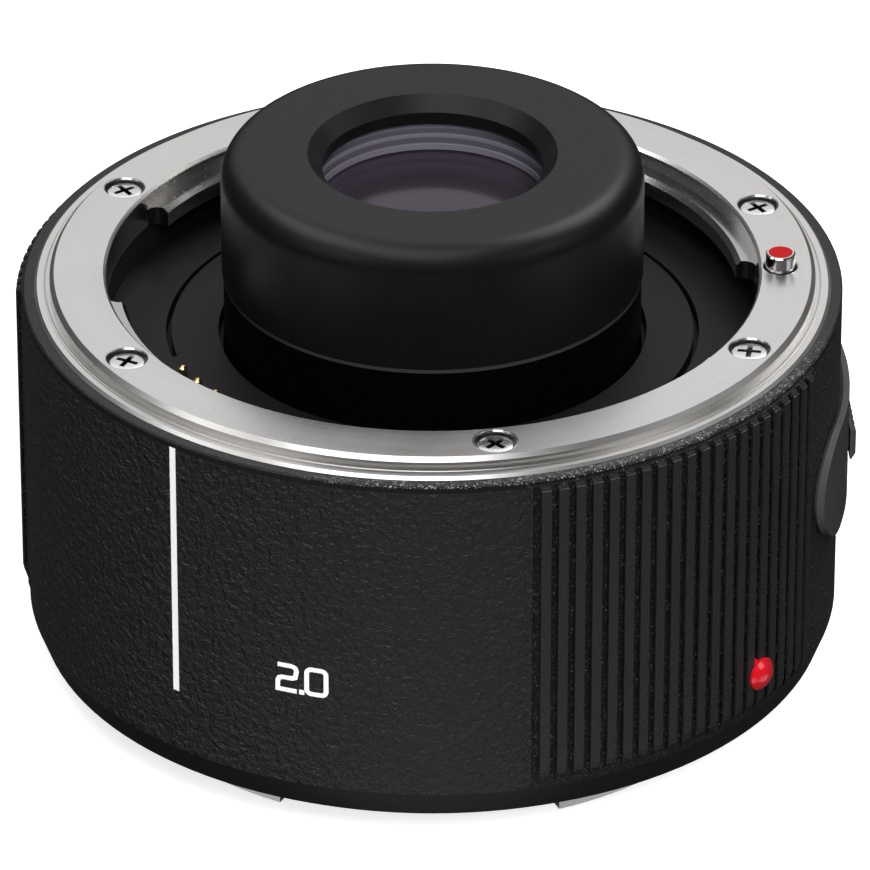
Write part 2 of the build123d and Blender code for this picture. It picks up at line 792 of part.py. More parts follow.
# Outer barrel with two ribbed grip pads
slot_start = knob_angle - release_travel_angle - degrees((neck_length / 2 + seat_gap) / barrel_radius)
slot_sweep = release_travel_angle + 2 * degrees((neck_length / 2 + seat_gap) / barrel_radius)
slot_bottom = release_height - neck_height / 2 - seat_gap
slot_height = neck_height + 2 * seat_gap
with BuildPart() as outer_barrel:
    with BuildSketch(Plane.XZ):
        with BuildLine():
            Polyline(
                (barrel_inner, cover_top),
                (barrel_radius, cover_top),
                (barrel_radius, barrel_top - barrel_chamfer_height),
                (barrel_top_radius, barrel_top),
                (ring_spigot_radius + seat_gap, barrel_top),
                (ring_spigot_radius + seat_gap, chassis_top),
                (barrel_inner, chassis_top),
                close=True,
            )
        make_face()
    revolve(axis=Axis.Z)
    grip_pads = ((front_grip_angle, front_groove_count), (back_grip_angle, back_groove_count))
    for grip_start, grooves in grip_pads:
        grip_sweep = grooves * groove_pitch_angle
        pad_root = barrel_radius - barrel_wall / 2
        pad = outline(
            (pad_root, cover_top),
            (barrel_radius, cover_top),
            (grip_radius, cover_top + grip_end_height),
            (grip_radius, barrel_top - grip_top_height),
            (grip_radius - grip_top_inset, barrel_top),
            (pad_root, barrel_top),
            plane=radial_plane(grip_start),
        )
        revolve(pad, axis=Axis.Z, revolution_arc=grip_sweep)
        ramp_edges = (
            (grip_start, grip_start + grip_ramp_angle),
            (grip_start + grip_sweep, grip_start + grip_sweep - grip_ramp_angle),
        )
        for low_angle, high_angle in ramp_edges:
            with BuildSketch(Plane.XY.offset(cover_top)):
                with BuildLine():
                    Polyline(
                        spot(barrel_radius, low_angle),
                        spot(grip_radius, high_angle),
                        spot(grip_radius + overrun, low_angle),
                        close=True,
                    )
                make_face()
            extrude(amount=flange_gap, mode=Mode.SUBTRACT)
        first_groove = grip_start + groove_edge_angle
        with BuildSketch(Plane.XY.offset(cover_top)):
            with PolarLocations(grip_radius, grooves, first_groove, grip_sweep):
                Rectangle(2 * groove_depth, groove_width)
        extrude(amount=flange_gap, mode=Mode.SUBTRACT)
    slot = sector(barrel_inner - overrun, grip_radius, slot_start, slot_sweep, slot_bottom)
    extrude(slot, amount=slot_height, mode=Mode.SUBTRACT)
    with BuildSketch(facing_plane(bead_angle, bead_height).offset(grip_radius - bead_seat_depth)):
        Circle(bead_radius + slip_gap)
    extrude(amount=bead_seat_depth + overrun, mode=Mode.SUBTRACT)
keep(outer_barrel, "outer_barrel")

# Red bead that marks how the converter goes into the camera
with BuildPart() as index_bead:
    with BuildSketch(radial_plane(bead_angle)):
        with BuildLine():
            bead_floor = grip_radius - bead_seat_depth
            shoulder = grip_radius + bead_shoulder
            Line((bead_floor, bead_height), (bead_floor, bead_height + bead_radius))
            Line((bead_floor, bead_height + bead_radius), (shoulder, bead_height + bead_radius))
            cap_height = bead_stand - bead_shoulder
            bulge = (bead_radius**2 + cap_height**2) / (2 * cap_height)
            crown = (grip_radius + bead_stand, bead_height)
            half_angle = degrees(asin(bead_radius / bulge))
            CenterArc((crown[0] - bulge, bead_height), bulge, 0, half_angle)
            Line(crown, (bead_floor, bead_height))
        make_face()
    bead_outward = (cos(radians(bead_angle)), sin(radians(bead_angle)), 0)
    revolve(axis=Axis((0, 0, bead_height), bead_outward))
keep(index_bead, "index_bead")

# Release plate on the barrel, curved with it
plate_radius = barrel_radius + release_plate_rise
plate_height = release_height + release_plate_lift
release_plane = facing_plane(release_centre_angle, plate_height)
with BuildPart() as release_plate:
    plate_bottom = plate_height - release_plate_height
    plate_top = plate_height + release_plate_height
    revolve(ring_outline(barrel_radius, plate_radius, plate_bottom, plate_top), axis=Axis.Z)
    with BuildSketch(release_plane):
        SlotOverall(release_plate_length, release_plate_height)
    extrude(amount=plate_radius + overrun, mode=Mode.INTERSECT)
    outer_face = release_plate.faces().filter_by(GeomType.CYLINDER).sort_by(SortBy.AREA)[-1]
    chamfer(outer_face.edges(), length=release_plate_chamfer)
    slot = sector(barrel_radius - overrun, grip_radius + overrun, slot_start, slot_sweep, slot_bottom)
    extrude(slot, amount=slot_height, mode=Mode.SUBTRACT)
    with BuildSketch(facing_plane(arrow_angle, release_height).offset(plate_radius - arrow_depth)):
        with BuildLine():
            Polyline(
                (-arrow_length / 2, 0),
                (arrow_length / 2, arrow_height / 2),
                (arrow_length / 2, -arrow_height / 2),
                close=True,
            )
        make_face()
    extrude(amount=overrun, mode=Mode.SUBTRACT)
keep(release_plate, "release_plate")

# Release knob: ridged pad and the neck through plate and barrel
knob_base = plate_radius + seat_gap / 2
with BuildPart() as release_knob:
    knob_plane = facing_plane(knob_angle, release_height)
    with BuildSketch(knob_plane.offset(knob_base)):
        Rectangle(knob_length, knob_height)
    extrude(amount=knob_rise)
    knob_top = release_knob.faces().sort_by(Axis(knob_plane.origin, knob_plane.z_dir))[-1]
    chamfer(knob_top.edges(), length=knob_chamfer)
    ridge_pitch = (knob_length - 2 * knob_chamfer) / knob_ridge_count
    with BuildSketch(knob_plane.offset(knob_base + knob_rise - knob_ridge_depth)):
        with GridLocations(ridge_pitch, 0, knob_ridge_count - 1, 1):
            Rectangle(knob_ridge_width, knob_height)
    extrude(amount=overrun, mode=Mode.SUBTRACT)
    with BuildSketch(knob_plane.offset(slider_outer)):
        Rectangle(neck_length, neck_height)
    extrude(amount=knob_base - slider_outer)
keep(release_knob, "release_knob")

# Slider inside the barrel: its slanted slot draws the lock pin down
with BuildPart() as release_slider:
    slider_bottom = release_height - slider_height / 2
    slider_start = knob_angle - slider_angle
    slider_face = sector(slider_inner, slider_outer, slider_start, 2 * slider_angle, slider_bottom)
    extrude(slider_face, amount=slider_height)
    cam_reach = (slider_inner + slider_outer) / 2 * sin(radians(release_travel_angle))
    cam_length = sqrt(cam_reach**2 + lock_stroke**2)
    cam_tilt = -degrees(atan2(lock_stroke, cam_reach))
    with BuildSketch(Plane.YZ.offset(slider_inner - overrun)):
        with Locations((cam_reach / 2, peg_height - lock_stroke / 2)):
            SlotCenterToCenter(cam_length, 2 * (peg_radius + cam_gap), rotation=cam_tilt)
    extrude(amount=slider_thickness + 2 * overrun, mode=Mode.SUBTRACT)
keep(release_slider, "release_slider")

# Lock pin with collar and stem
lock_axis = Axis((lock_circle_radius, 0, 0), (0, 0, 1))
lock_plane = Plane(origin=(lock_circle_radius, 0, 0), x_dir=(1, 0, 0), z_dir=(0, -1, 0))
lock_top = flange_gap + lock_pin_stand
with BuildPart() as lock_pin:
    with BuildSketch(lock_plane):
        with BuildLine():
            Polyline(
                (0, peg_height - stem_tail),
                (stem_radius, peg_height - stem_tail),
                (stem_radius, collar_bottom),
                (collar_radius, collar_bottom),
                (collar_radius, collar_top),
                (lock_pin_radius, collar_top),
                (lock_pin_radius, lock_top - lock_pin_chamfer),
                (lock_pin_radius - lock_pin_chamfer, lock_top),
                (lock_mark_radius, lock_top),
                (lock_mark_radius, lock_top - lock_mark_depth),
                (0, lock_top - lock_mark_depth),
                close=True,
            )
        make_face()
    revolve(axis=lock_axis)
    with BuildSketch(Plane.YZ.offset(lock_circle_radius - collar_radius)):
        with Locations((0, peg_height)):
            Circle(peg_radius)
    extrude(amount=2 * collar_radius, mode=Mode.SUBTRACT)
keep(lock_pin, "lock_pin")

# Red disc in the top of the lock pin
with BuildPart() as lock_pin_mark:
    extrude(discs(lock_mark_radius, [lock_spot], lock_top - lock_mark_depth), amount=lock_mark_depth)
keep(lock_pin_mark, "lock_pin_mark")

# Cross peg that runs in the slanted slot
with BuildPart() as lock_cross_peg:
    with BuildSketch(Plane.YZ.offset(lock_circle_radius - stem_radius)):
        with Locations((0, peg_height)):
            Circle(peg_radius)
    extrude(amount=slider_outer - peg_tip_gap - lock_circle_radius + stem_radius)
keep(lock_cross_peg, "lock_cross_peg")

# Coil spring between the guide lug and the collar
spring_length = collar_bottom - lug_top - 2 * (spring_wire_radius + slip_gap)
spring_start = lug_top + spring_wire_radius + slip_gap
spring_pitch = spring_length / spring_turn_count
with BuildPart() as lock_pin_spring:
    with BuildLine():
        coil = Helix(
            pitch=spring_pitch,
            height=spring_length,
            radius=spring_coil_radius,
            center=(lock_circle_radius, 0, spring_start),
        )
    with BuildSketch(Plane(origin=coil @ 0, z_dir=coil % 0)):
        RegularPolygon(spring_wire_radius, side_count=spring_side_count)
    sweep(is_frenet=True)
keep(lock_pin_spring, "lock_pin_spring")
spring_gap = spring_pitch - 2 * spring_wire_radius
print(f"lock pin spring: least gap between turns {spring_gap:.2f} mm")

# Cover that closes the camera side; the smooth tapered band at the foot of the barrel
seal_inner = camera_ring_radius + seat_gap
seal_outer = seal_inner + seal_width
seal_top = flange_stand + seal_height
with BuildPart() as rear_cover:
    with BuildSketch(Plane.XZ):
        with BuildLine():
            Polyline(
                (seal_outer, flange_stand),
                (cover_foot_radius, flange_stand),
                (barrel_radius, cover_top),
                (baffle_flange_radius + seat_gap, cover_top),
                (baffle_flange_radius + seat_gap, camera_ring_height),
                (seal_inner, camera_ring_height),
                (seal_inner, seal_top),
                (seal_outer, seal_top),
                close=True,
            )
        make_face()
    revolve(axis=Axis.Z)
    cover_holes = discs(screw_shank_radius + seat_gap, camera_screw_spots, camera_ring_height)
    extrude(cover_holes, amount=cover_height, mode=Mode.SUBTRACT)
keep(rear_cover, "rear_cover")

# Camera-side ring: flange, register, tube and four outward tabs
with BuildPart() as camera_mount_ring:
    with BuildSketch(Plane.XZ):
        with BuildLine():
            Polyline(
                (camera_tube_inner, male_tab_bottom),
                (tube_radius, male_tab_bottom),
                (tube_radius, -register_length),
                (register_radius, -register_length),
                (register_radius, 0),
                (camera_ring_radius - camera_ring_chamfer, 0),
                (camera_ring_radius, camera_ring_chamfer),
                (camera_ring_radius, camera_ring_height),
                (camera_tube_inner, camera_ring_height),
                close=True,
            )
        make_face()
    revolve(axis=Axis.Z)
    next_start_angles = tab_start_angles[1:] + (tab_start_angles[0] + full_turn_angle,)
    for gap_start, gap_end in zip(tab_end_angles, next_start_angles):
        tab_start = gap_start + tab_slack_angle - turn_to_lock_angle
        tab_sweep = gap_end - gap_start - 2 * tab_slack_angle
        tab_root = tube_radius - seat_gap
        male_tab = sector(tab_root, male_tab_radius, tab_start, tab_sweep, male_tab_bottom)
        extrude(male_tab, amount=male_tab_thickness)
    camera_holes = discs(screw_shank_radius + seat_gap, camera_screw_spots, 0)
    extrude(camera_holes, amount=camera_ring_height, mode=Mode.SUBTRACT)
    extrude(discs(counterbore_radius, camera_screw_spots, 0), amount=counterbore_depth, mode=Mode.SUBTRACT)
    extrude(discs(lock_notch_radius, [lock_spot], 0), amount=lock_notch_depth, mode=Mode.SUBTRACT)
keep(camera_mount_ring, "camera_mount_ring")

with BuildPart() as camera_mount_screws:
    extrude(discs(screw_head_radius, camera_screw_spots, screw_head_sink), amount=screw_head_height)
    extrude(discs(screw_shank_radius, camera_screw_spots, counterbore_depth), amount=screw_shank_length)
keep(camera_mount_screws, "camera_mount_screws")

# Rubber seal round the camera-side ring
with BuildPart() as camera_seal:
    seal_middle = (seal_inner + seal_outer) / 2
    with BuildSketch(Plane.XZ):
        with BuildLine():
            Polyline(
                (seal_inner, seal_top),
                (seal_outer, seal_top),
                (seal_outer, flange_stand),
                (seal_middle + seal_lip_width / 2, -seal_stand),
                (seal_middle - seal_lip_width / 2, -seal_stand),
                (seal_inner, flange_stand),
                close=True,
            )
        make_face()
    revolve(axis=Axis.Z)
keep(camera_seal, "camera_seal")

# Light baffle inside the camera-side tube, with its picture window
baffle_radius = camera_tube_inner - seat_gap
with BuildPart() as rear_baffle:
    baffle_inner = baffle_radius - baffle_wall
    with BuildSketch(Plane.XZ):
        with BuildLine():
            Polyline(
                (0, -baffle_face_depth),
                (baffle_radius, -baffle_face_depth),
                (baffle_radius, camera_ring_height),
                (baffle_flange_radius, camera_ring_height),
                (baffle_flange_radius, cover_top),
                (baffle_inner, cover_top),
                (baffle_inner, baffle_plate_height - baffle_face_depth),
                (0, baffle_plate_height - baffle_face_depth),
                close=True,
            )
        make_face()
    revolve(axis=Axis.Z)
    with BuildSketch(Plane.XY.offset(-baffle_face_depth)):
        rim_width = baffle_window_width + 2 * baffle_rim_width
        rim_length = baffle_window_height + 2 * baffle_rim_width
        RectangleRounded(rim_width, rim_length, baffle_window_corner + baffle_rim_width)
    extrude(amount=-baffle_rim_height)
    with BuildSketch(Plane.XY.offset(-baffle_face_depth - overrun)):
        RectangleRounded(baffle_window_width, baffle_window_height, baffle_window_corner)
    extrude(amount=baffle_face_depth + overrun, mode=Mode.SUBTRACT)
    camera_pocket_inner = camera_block_inner - seat_gap
    camera_gap_angle = degrees(seat_gap / camera_block_inner)
    camera_pocket_start = block_start - camera_gap_angle
    camera_pocket_sweep = block_sweep + 2 * camera_gap_angle
    camera_pocket = sector(
        camera_pocket_inner,
        camera_tube_inner,
        camera_pocket_start,
        camera_pocket_sweep,
        -baffle_face_depth - overrun,
    )
    extrude(camera_pocket, amount=baffle_face_depth + overrun + camera_ring_height, mode=Mode.SUBTRACT)
keep(rear_baffle, "rear_baffle")

# Camera-side contact block with its flat pads
with BuildPart() as camera_contact_block:
    camera_block = sector(camera_block_inner, baffle_radius, block_start, block_sweep, -camera_block_depth)
    extrude(camera_block, amount=camera_block_depth + camera_ring_height)
keep(camera_contact_block, "camera_contact_block")

with BuildPart() as camera_contacts:
    half_pad = degrees(pad_length / 2 / contact_circle_radius)
    pad_inner = contact_circle_radius - pad_width / 2
    pad_outer = contact_circle_radius + pad_width / 2
    for angle in contact_angles:
        pad = sector(pad_inner, pad_outer, angle - half_pad, 2 * half_pad, -camera_block_depth)
        extrude(pad, amount=-pad_height)
keep(camera_contacts, "camera_contacts")

# Circuit board on three chassis bosses
board_top = board_bottom + board_thickness
with BuildPart() as main_board:
    board_radii = (board_inner_radius, board_outer_radius)
    board_face = sector(*board_radii, board_start_angle, board_sweep_angle, board_bottom)
    extrude(board_face, amount=board_thickness)
    board_screw_holes = discs(small_shank_radius + seat_gap, board_boss_spots, board_bottom)
    extrude(board_screw_holes, amount=board_thickness, mode=Mode.SUBTRACT)
keep(main_board, "main_board")

with BuildPart() as board_screws:
    extrude(discs(small_head_radius, board_boss_spots, board_bottom), amount=-small_head_height)
    extrude(discs(small_shank_radius, board_boss_spots, board_bottom), amount=small_shank_length)
keep(board_screws, "board_screws")

with BuildPart() as controller_chip:
    with BuildSketch(Plane.XY.offset(board_top)):
        with PolarLocations(chip_circle_radius, 1, controller_angle):
            Rectangle(controller_size, controller_size)
    extrude(amount=controller_height)
keep(controller_chip, "controller_chip")

with BuildPart() as memory_chip:
    with BuildSketch(Plane.XY.offset(board_top)):
        with PolarLocations(chip_circle_radius, 1, memory_angle):
            Rectangle(memory_width, memory_length)
    extrude(amount=memory_height)
keep(memory_chip, "memory_chip")

# Flexible circuits from the board to both contact blocks
with BuildPart() as lens_contact_flex:
    with BuildSketch(Plane.XY.offset(board_top)):
        with PolarLocations(contact_circle_radius, 1, flex_angle):
            Rectangle(flex_thickness, flex_width)
    extrude(amount=deck_top - board_top)
keep(lens_contact_flex, "lens_contact_flex")

with BuildPart() as camera_contact_flex:
    with BuildSketch(Plane.XY.offset(board_bottom)):
        with PolarLocations(rear_flex_radius, 1, flex_angle):
            Rectangle(flex_thickness, flex_width)
    extrude(amount=camera_ring_height - board_bottom)
keep(camera_contact_flex, "camera_contact_flex")
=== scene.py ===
# %% [markdown]
# # A camera teleconverter, dressed for its photograph
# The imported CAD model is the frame: every solid is already in its place, in metres.
# This script gives each piece its finish, adds the small things that CAD leaves out,
# such as screw crosses and printed marks, and sets up a light table and a camera.

from math import cos, pi, radians, sin, sqrt

import bmesh
import bpy
from mathutils import Matrix, Vector


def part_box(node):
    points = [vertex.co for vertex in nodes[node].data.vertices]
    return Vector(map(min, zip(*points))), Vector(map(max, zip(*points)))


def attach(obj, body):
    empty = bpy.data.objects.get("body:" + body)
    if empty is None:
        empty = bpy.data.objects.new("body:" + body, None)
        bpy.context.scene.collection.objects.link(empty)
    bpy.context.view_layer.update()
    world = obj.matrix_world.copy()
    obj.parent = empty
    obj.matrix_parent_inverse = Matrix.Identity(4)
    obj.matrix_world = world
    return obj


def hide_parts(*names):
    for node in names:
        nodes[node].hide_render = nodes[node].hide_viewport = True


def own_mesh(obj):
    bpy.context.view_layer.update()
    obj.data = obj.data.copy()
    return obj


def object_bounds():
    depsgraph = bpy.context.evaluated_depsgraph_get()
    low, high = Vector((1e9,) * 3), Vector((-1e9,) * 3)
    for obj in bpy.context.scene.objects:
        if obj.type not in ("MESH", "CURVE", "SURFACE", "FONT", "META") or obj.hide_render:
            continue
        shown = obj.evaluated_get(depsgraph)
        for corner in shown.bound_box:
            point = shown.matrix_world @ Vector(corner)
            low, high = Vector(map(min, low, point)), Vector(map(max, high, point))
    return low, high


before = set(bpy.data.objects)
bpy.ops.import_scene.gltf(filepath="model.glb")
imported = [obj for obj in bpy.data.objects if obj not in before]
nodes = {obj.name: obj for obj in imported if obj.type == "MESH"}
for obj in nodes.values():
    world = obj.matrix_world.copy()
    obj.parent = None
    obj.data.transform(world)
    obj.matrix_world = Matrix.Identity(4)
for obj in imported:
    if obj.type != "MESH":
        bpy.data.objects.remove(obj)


def plain_box(bounds):
    """The two corners of a box as plain lists of numbers."""
    return [[float(value) for value in corner] for corner in bounds]


cad_box = plain_box(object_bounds())

# %% [markdown]
# The whole object is round, so most places are written as a radius, an angle round the
# optical axis and a height. Heights are measured from the camera-side flange. One function
# turns them into a point.

# %% Sizes that several cells share
MM = 0.001
FLANGE_GAP = 34.5 * MM
BARREL_RADIUS = 35.4 * MM
SCREW_CIRCLE = 30.5 * MM
LENS_SCREW_ANGLES = (21.3, 87.0, 152.3, 212.0, 279.9, 331.8)
CAMERA_SCREW_ANGLES = (30.0, 102.0, 168.0, 250.0, 318.0)


def place(radius, angle, height):
    """Point at a radius and an angle round the optical axis, at a height."""
    return Vector((radius * cos(radians(angle)), radius * sin(radians(angle)), height))


first_screw = place(SCREW_CIRCLE, LENS_SCREW_ANGLES[0], FLANGE_GAP)
print("first lens-side screw at", [round(value, 4) for value in first_screw])

# %% [markdown]
# ## The camera
# Product photographs of small things are taken from far away with a long lens, so that a
# circle seen from the side stays a clean ellipse. This one looks down by 30 degrees from
# about 0.75 m. It is placed first, because everything after it is judged in its picture.

# %% Camera
CAMERA_SPOT = (0, -652.603 * MM, 395.475 * MM)
CAMERA_TILT = (59.9327, -0.0312, -0.0014)
LENS_LENGTH_MM, SENSOR_WIDTH_MM = 357.677, 36.0
FAR_LIMIT = 20

camera_data = bpy.data.cameras.new("camera")
camera_data.lens = LENS_LENGTH_MM
camera_data.sensor_width = SENSOR_WIDTH_MM
camera_data.clip_end = FAR_LIMIT
camera = bpy.data.objects.new("camera", camera_data)
bpy.context.scene.collection.objects.link(camera)
camera.location = CAMERA_SPOT
camera.rotation_euler = [radians(turn) for turn in CAMERA_TILT]
bpy.context.scene.camera = camera
print("camera at", [round(value, 3) for value in camera.location], "lens", camera_data.lens, "mm")

# %% [markdown]
# ## Shader maths as Python
# A procedural finish is a sum of masks and noises. Written as nodes one by one it can't be
# read, so a small class wraps an output socket, and Python's own operators add the Math
# nodes. Any other node comes from one method of the finish that is being made.


# %% A socket that can be added and multiplied
class Wire:
    """One number that varies over a surface."""

    def __init__(self, finish, socket):
        self.finish = finish
        self.socket = socket

    def maths(self, operation, *others):
        sockets = dict(enumerate((self, *others)))
        return self.finish.node("Math", {"operation": operation}, sockets)

    def __add__(self, other):
        return self.maths("ADD", other)

    def __mul__(self, other):
        return self.maths("MULTIPLY", other)

    def __sub__(self, other):
        return self.maths("SUBTRACT", other)

    def __rsub__(self, other):
        return self.finish.node("Math", {"operation": "SUBTRACT"}, {0: other, 1: self})

    __radd__ = __add__


# %% [markdown]
# A finish holds one material and adds the nodes that feed it: position, noise, soft steps
# and bands, blends and bumps. Two small functions beside it make a grey, and put a material
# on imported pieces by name.


# %% A finish: one material and the nodes that feed it
class Finish:
    """A material under construction."""

    def __init__(self, name):
        self.material = bpy.data.materials.new(name)
        self.material.use_nodes = True
        self.tree = self.material.node_tree
        self.shader = self.tree.nodes["Principled BSDF"]

    def node(self, kind, settings=None, sockets=None, output=0):
        """Adds a node, sets it up, fills its sockets, and returns one of its outputs."""
        new = self.tree.nodes.new("ShaderNode" + kind)
        for name, value in (settings or {}).items():
            setattr(new, name, value)
        for name, value in (sockets or {}).items():
            self.join(new.inputs[name], value)
        return Wire(self, new.outputs[output])

    def join(self, socket, value):
        if isinstance(value, Wire):
            self.tree.links.new(value.socket, socket)
        else:
            socket.default_value = value

    def shade(self, **sockets):
        """Sets sockets of the Principled shader by name, with _ for a space."""
        for name, value in sockets.items():
            self.join(self.shader.inputs[name.replace("_", " ")], value)
        return self.material

    def where(self):
        """Position on the object, in metres."""
        return self.node("TexCoord", output="Object")

    def polar(self):
        """Radius, angle in degrees and height of each surface point."""
        split = self.tree.nodes.new("ShaderNodeSeparateXYZ")
        self.join(split.inputs[0], self.where())
        x, y, z = (Wire(self, out) for out in split.outputs)
        radius = (x * x + y * y).maths("SQRT")
        angle = y.maths("ARCTAN2", x) * (180 / pi)
        return radius, angle, z

    def noise(self, size, detail=2.0, vector=None, distortion=0.0):
        """Noise whose lumps are about a given size, in metres."""
        sockets = {
            "Vector": vector or self.where(),
            "Scale": 1 / size,
            "Detail": detail,
            "Distortion": distortion,
        }
        return self.node("TexNoise", {}, sockets, "Fac")

    def step(self, value, low, high):
        """Rises smoothly from 0 to 1 as a value goes from low to high."""
        settings = {"interpolation_type": "SMOOTHSTEP"}
        sockets = {"Value": value, "From Min": low, "From Max": high, "To Min": 0.0, "To Max": 1.0}
        return self.node("MapRange", settings, sockets)

    def band(self, value, low, high, soft):
        """1 between two values and 0 outside them, with soft edges."""
        rise = self.step(value, low - soft, low + soft)
        return rise * (1 - self.step(value, high - soft, high + soft))

    def blend(self, share, first, second):
        """Colour that goes from a first to a second as a share goes from 0 to 1."""
        return self.node("Mix", {"data_type": "RGBA"}, {0: share, 6: first, 7: second}, 2)

    def bump(self, height, depth, strength=1.0):
        """Normal of a relief whose full height is a depth in metres."""
        return self.node("Bump", {}, {"Height": height, "Distance": depth, "Strength": strength})


def grey(value, warmth=0.0):
    """Neutral colour, slightly warm or cool."""
    return (value * (1 + warmth), value, value * (1 - warmth), 1)


def wear(material, *names):
    """Gives CAD nodes a material."""
    for name in names:
        mesh = nodes[name].data
        for slot in range(len(mesh.materials)):
            mesh.materials[slot] = material
        if not mesh.materials:
            mesh.materials.append(material)
    print(material.name, "on", ", ".join(names))


# %% [markdown]
# ## Steel of the mount rings
# A bayonet ring is turned on a lathe, so its marks are fine circles round the axis. Noise
# that is read along the radius and hardly round the angle gives such circles. They change
# the roughness a little, and the relief by about a micrometre. Inside, the tabs and the wall
# of the throat are smoother, and painted shade darkens their colour. A real ring also has a
# few tiny dull spots.

# %% Turned steel
AROUND_SHARE = 0.000004
MARK_DEPTH = 0.0012 * MM
POLISHED_SHADED_BELOW = (28.1 * MM, 28.3 * MM)


def turned_steel(name, tone, rough):
    finish = Finish(name)
    radius, angle, height = finish.polar()
    circles = finish.node("CombineXYZ", {}, {0: radius, 1: angle * AROUND_SHARE, 2: height})
    lines = finish.noise(0.09 * MM, 3.0, circles)
    broad = finish.noise(1.1 * MM, 2.0, circles)
    cloud = finish.noise(6 * MM, 3.0)
    spots = finish.step(finish.noise(0.42 * MM, 1.0), 0.71, 0.76)
    fleck = lines * 0.5 + broad * 0.5
    polished_and_shaded = 1 - finish.step(radius, *POLISHED_SHADED_BELOW)
    colour = finish.blend(fleck, grey(tone * 0.93, 0.022), grey(tone * 1.06, 0.022))
    # Painted shade: the tabs and the wall of the throat get a darker colour; their lower roughness
    # is real.
    colour = finish.blend(polished_and_shaded * 0.4, colour, grey(tone * 0.45, 0.03))
    colour = finish.blend(spots * 0.35, colour, grey(tone * 0.55, 0.03))
    grain = (fleck - 0.5) * 0.14 + (cloud - 0.5) * 0.08
    return finish.shade(
        Base_Color=colour,
        Metallic=1.0,
        Roughness=rough + grain + spots * 0.12 - polished_and_shaded * 0.12,
        Normal=finish.bump(fleck, MARK_DEPTH, 0.6),
    )


ring_steel = turned_steel("turned_ring_steel", 0.56, 0.30)
wear(ring_steel, "camera_mount_ring")

# %% [markdown]
# Screws, springs and pins are steel too, but drawn or stamped and not turned on a face, so
# a plain fine grain is enough for them. A driver recess looks nearly black, because light
# hardly gets out of it. In the mount screws a tone for that range of heights says so.

# %% Plain steel
RECESS_TOP, RECESS_FLOOR, RECESS_SOFT = 0.42 * MM, 0.9 * MM, 0.05 * MM


def plain_steel(name, tone, rough, recess=False):
    """Steel with a fine grain, and darker down in the driver recess of a mount screw."""
    finish = Finish(name)
    grain = finish.noise(0.12 * MM, 3.0)
    cloud = finish.noise(1.5 * MM, 2.0)
    colour = finish.blend(grain, grey(tone * 0.9, 0.01), grey(tone * 1.05, 0.01))
    if recess:
        _, _, height = finish.polar()
        below_face = (FLANGE_GAP - RECESS_FLOOR, FLANGE_GAP - RECESS_TOP)
        lens_side = finish.band(height, *below_face, RECESS_SOFT)
        camera_side = finish.band(height, RECESS_TOP, RECESS_FLOOR, RECESS_SOFT)
        colour = finish.blend(lens_side + camera_side, colour, grey(0.07, 0.05))
    return finish.shade(
        Base_Color=colour,
        Metallic=1.0,
        Roughness=rough + (grain - 0.5) * 0.1 + (cloud - 0.5) * 0.08,
        Normal=finish.bump(grain, 0.001 * MM, 0.5),
    )


screw_steel = plain_steel("screw_steel", 0.62, 0.2)
recessed_steel = plain_steel("mount_screw_steel", 0.62, 0.24, recess=True)
spring_steel = plain_steel("spring_steel", 0.5, 0.3)
pin_steel = plain_steel("lock_pin_steel", 0.64, 0.16)
wear(screw_steel, "barrel_screws", "board_screws", "lock_cross_peg")
wear(spring_steel, "bayonet_spring", "lens_mount_shim")
wear(pin_steel, "lock_pin")

# %% [markdown]
# ## Black paint of the barrel
# The barrel is a light alloy with a black paint that dries into a fine leathery skin. The
# lumps are under a millimetre. Two noises, one of them folded by distortion, make the
# relief. The raised grip pads are smoother on their lands, and their grooves are rough,
# dark and full of tiny flecks of grit, whose shine is partly a painted glint: a lighter colour.
# Radius, angle and height tell these regions apart.
# The second pad lies across the seam at 180 degrees, so it takes two bands of angle.

# %% Barrel paint with its grip pads
PAD_ANGLES = ((-76.3, -24.6), (153.7, 182.5), (-180.5, -177.2))
PAD_SOFT = 0.15
LAND_FROM = (35.82 * MM, 35.90 * MM)
GROOVE_TO = (35.65 * MM, 35.80 * MM)
GROOVE_FROM = (35.0 * MM, 35.3 * MM)
STRIP_FROM = (32.40 * MM, 32.52 * MM)
PAINT_RELIEF = 0.9 * MM


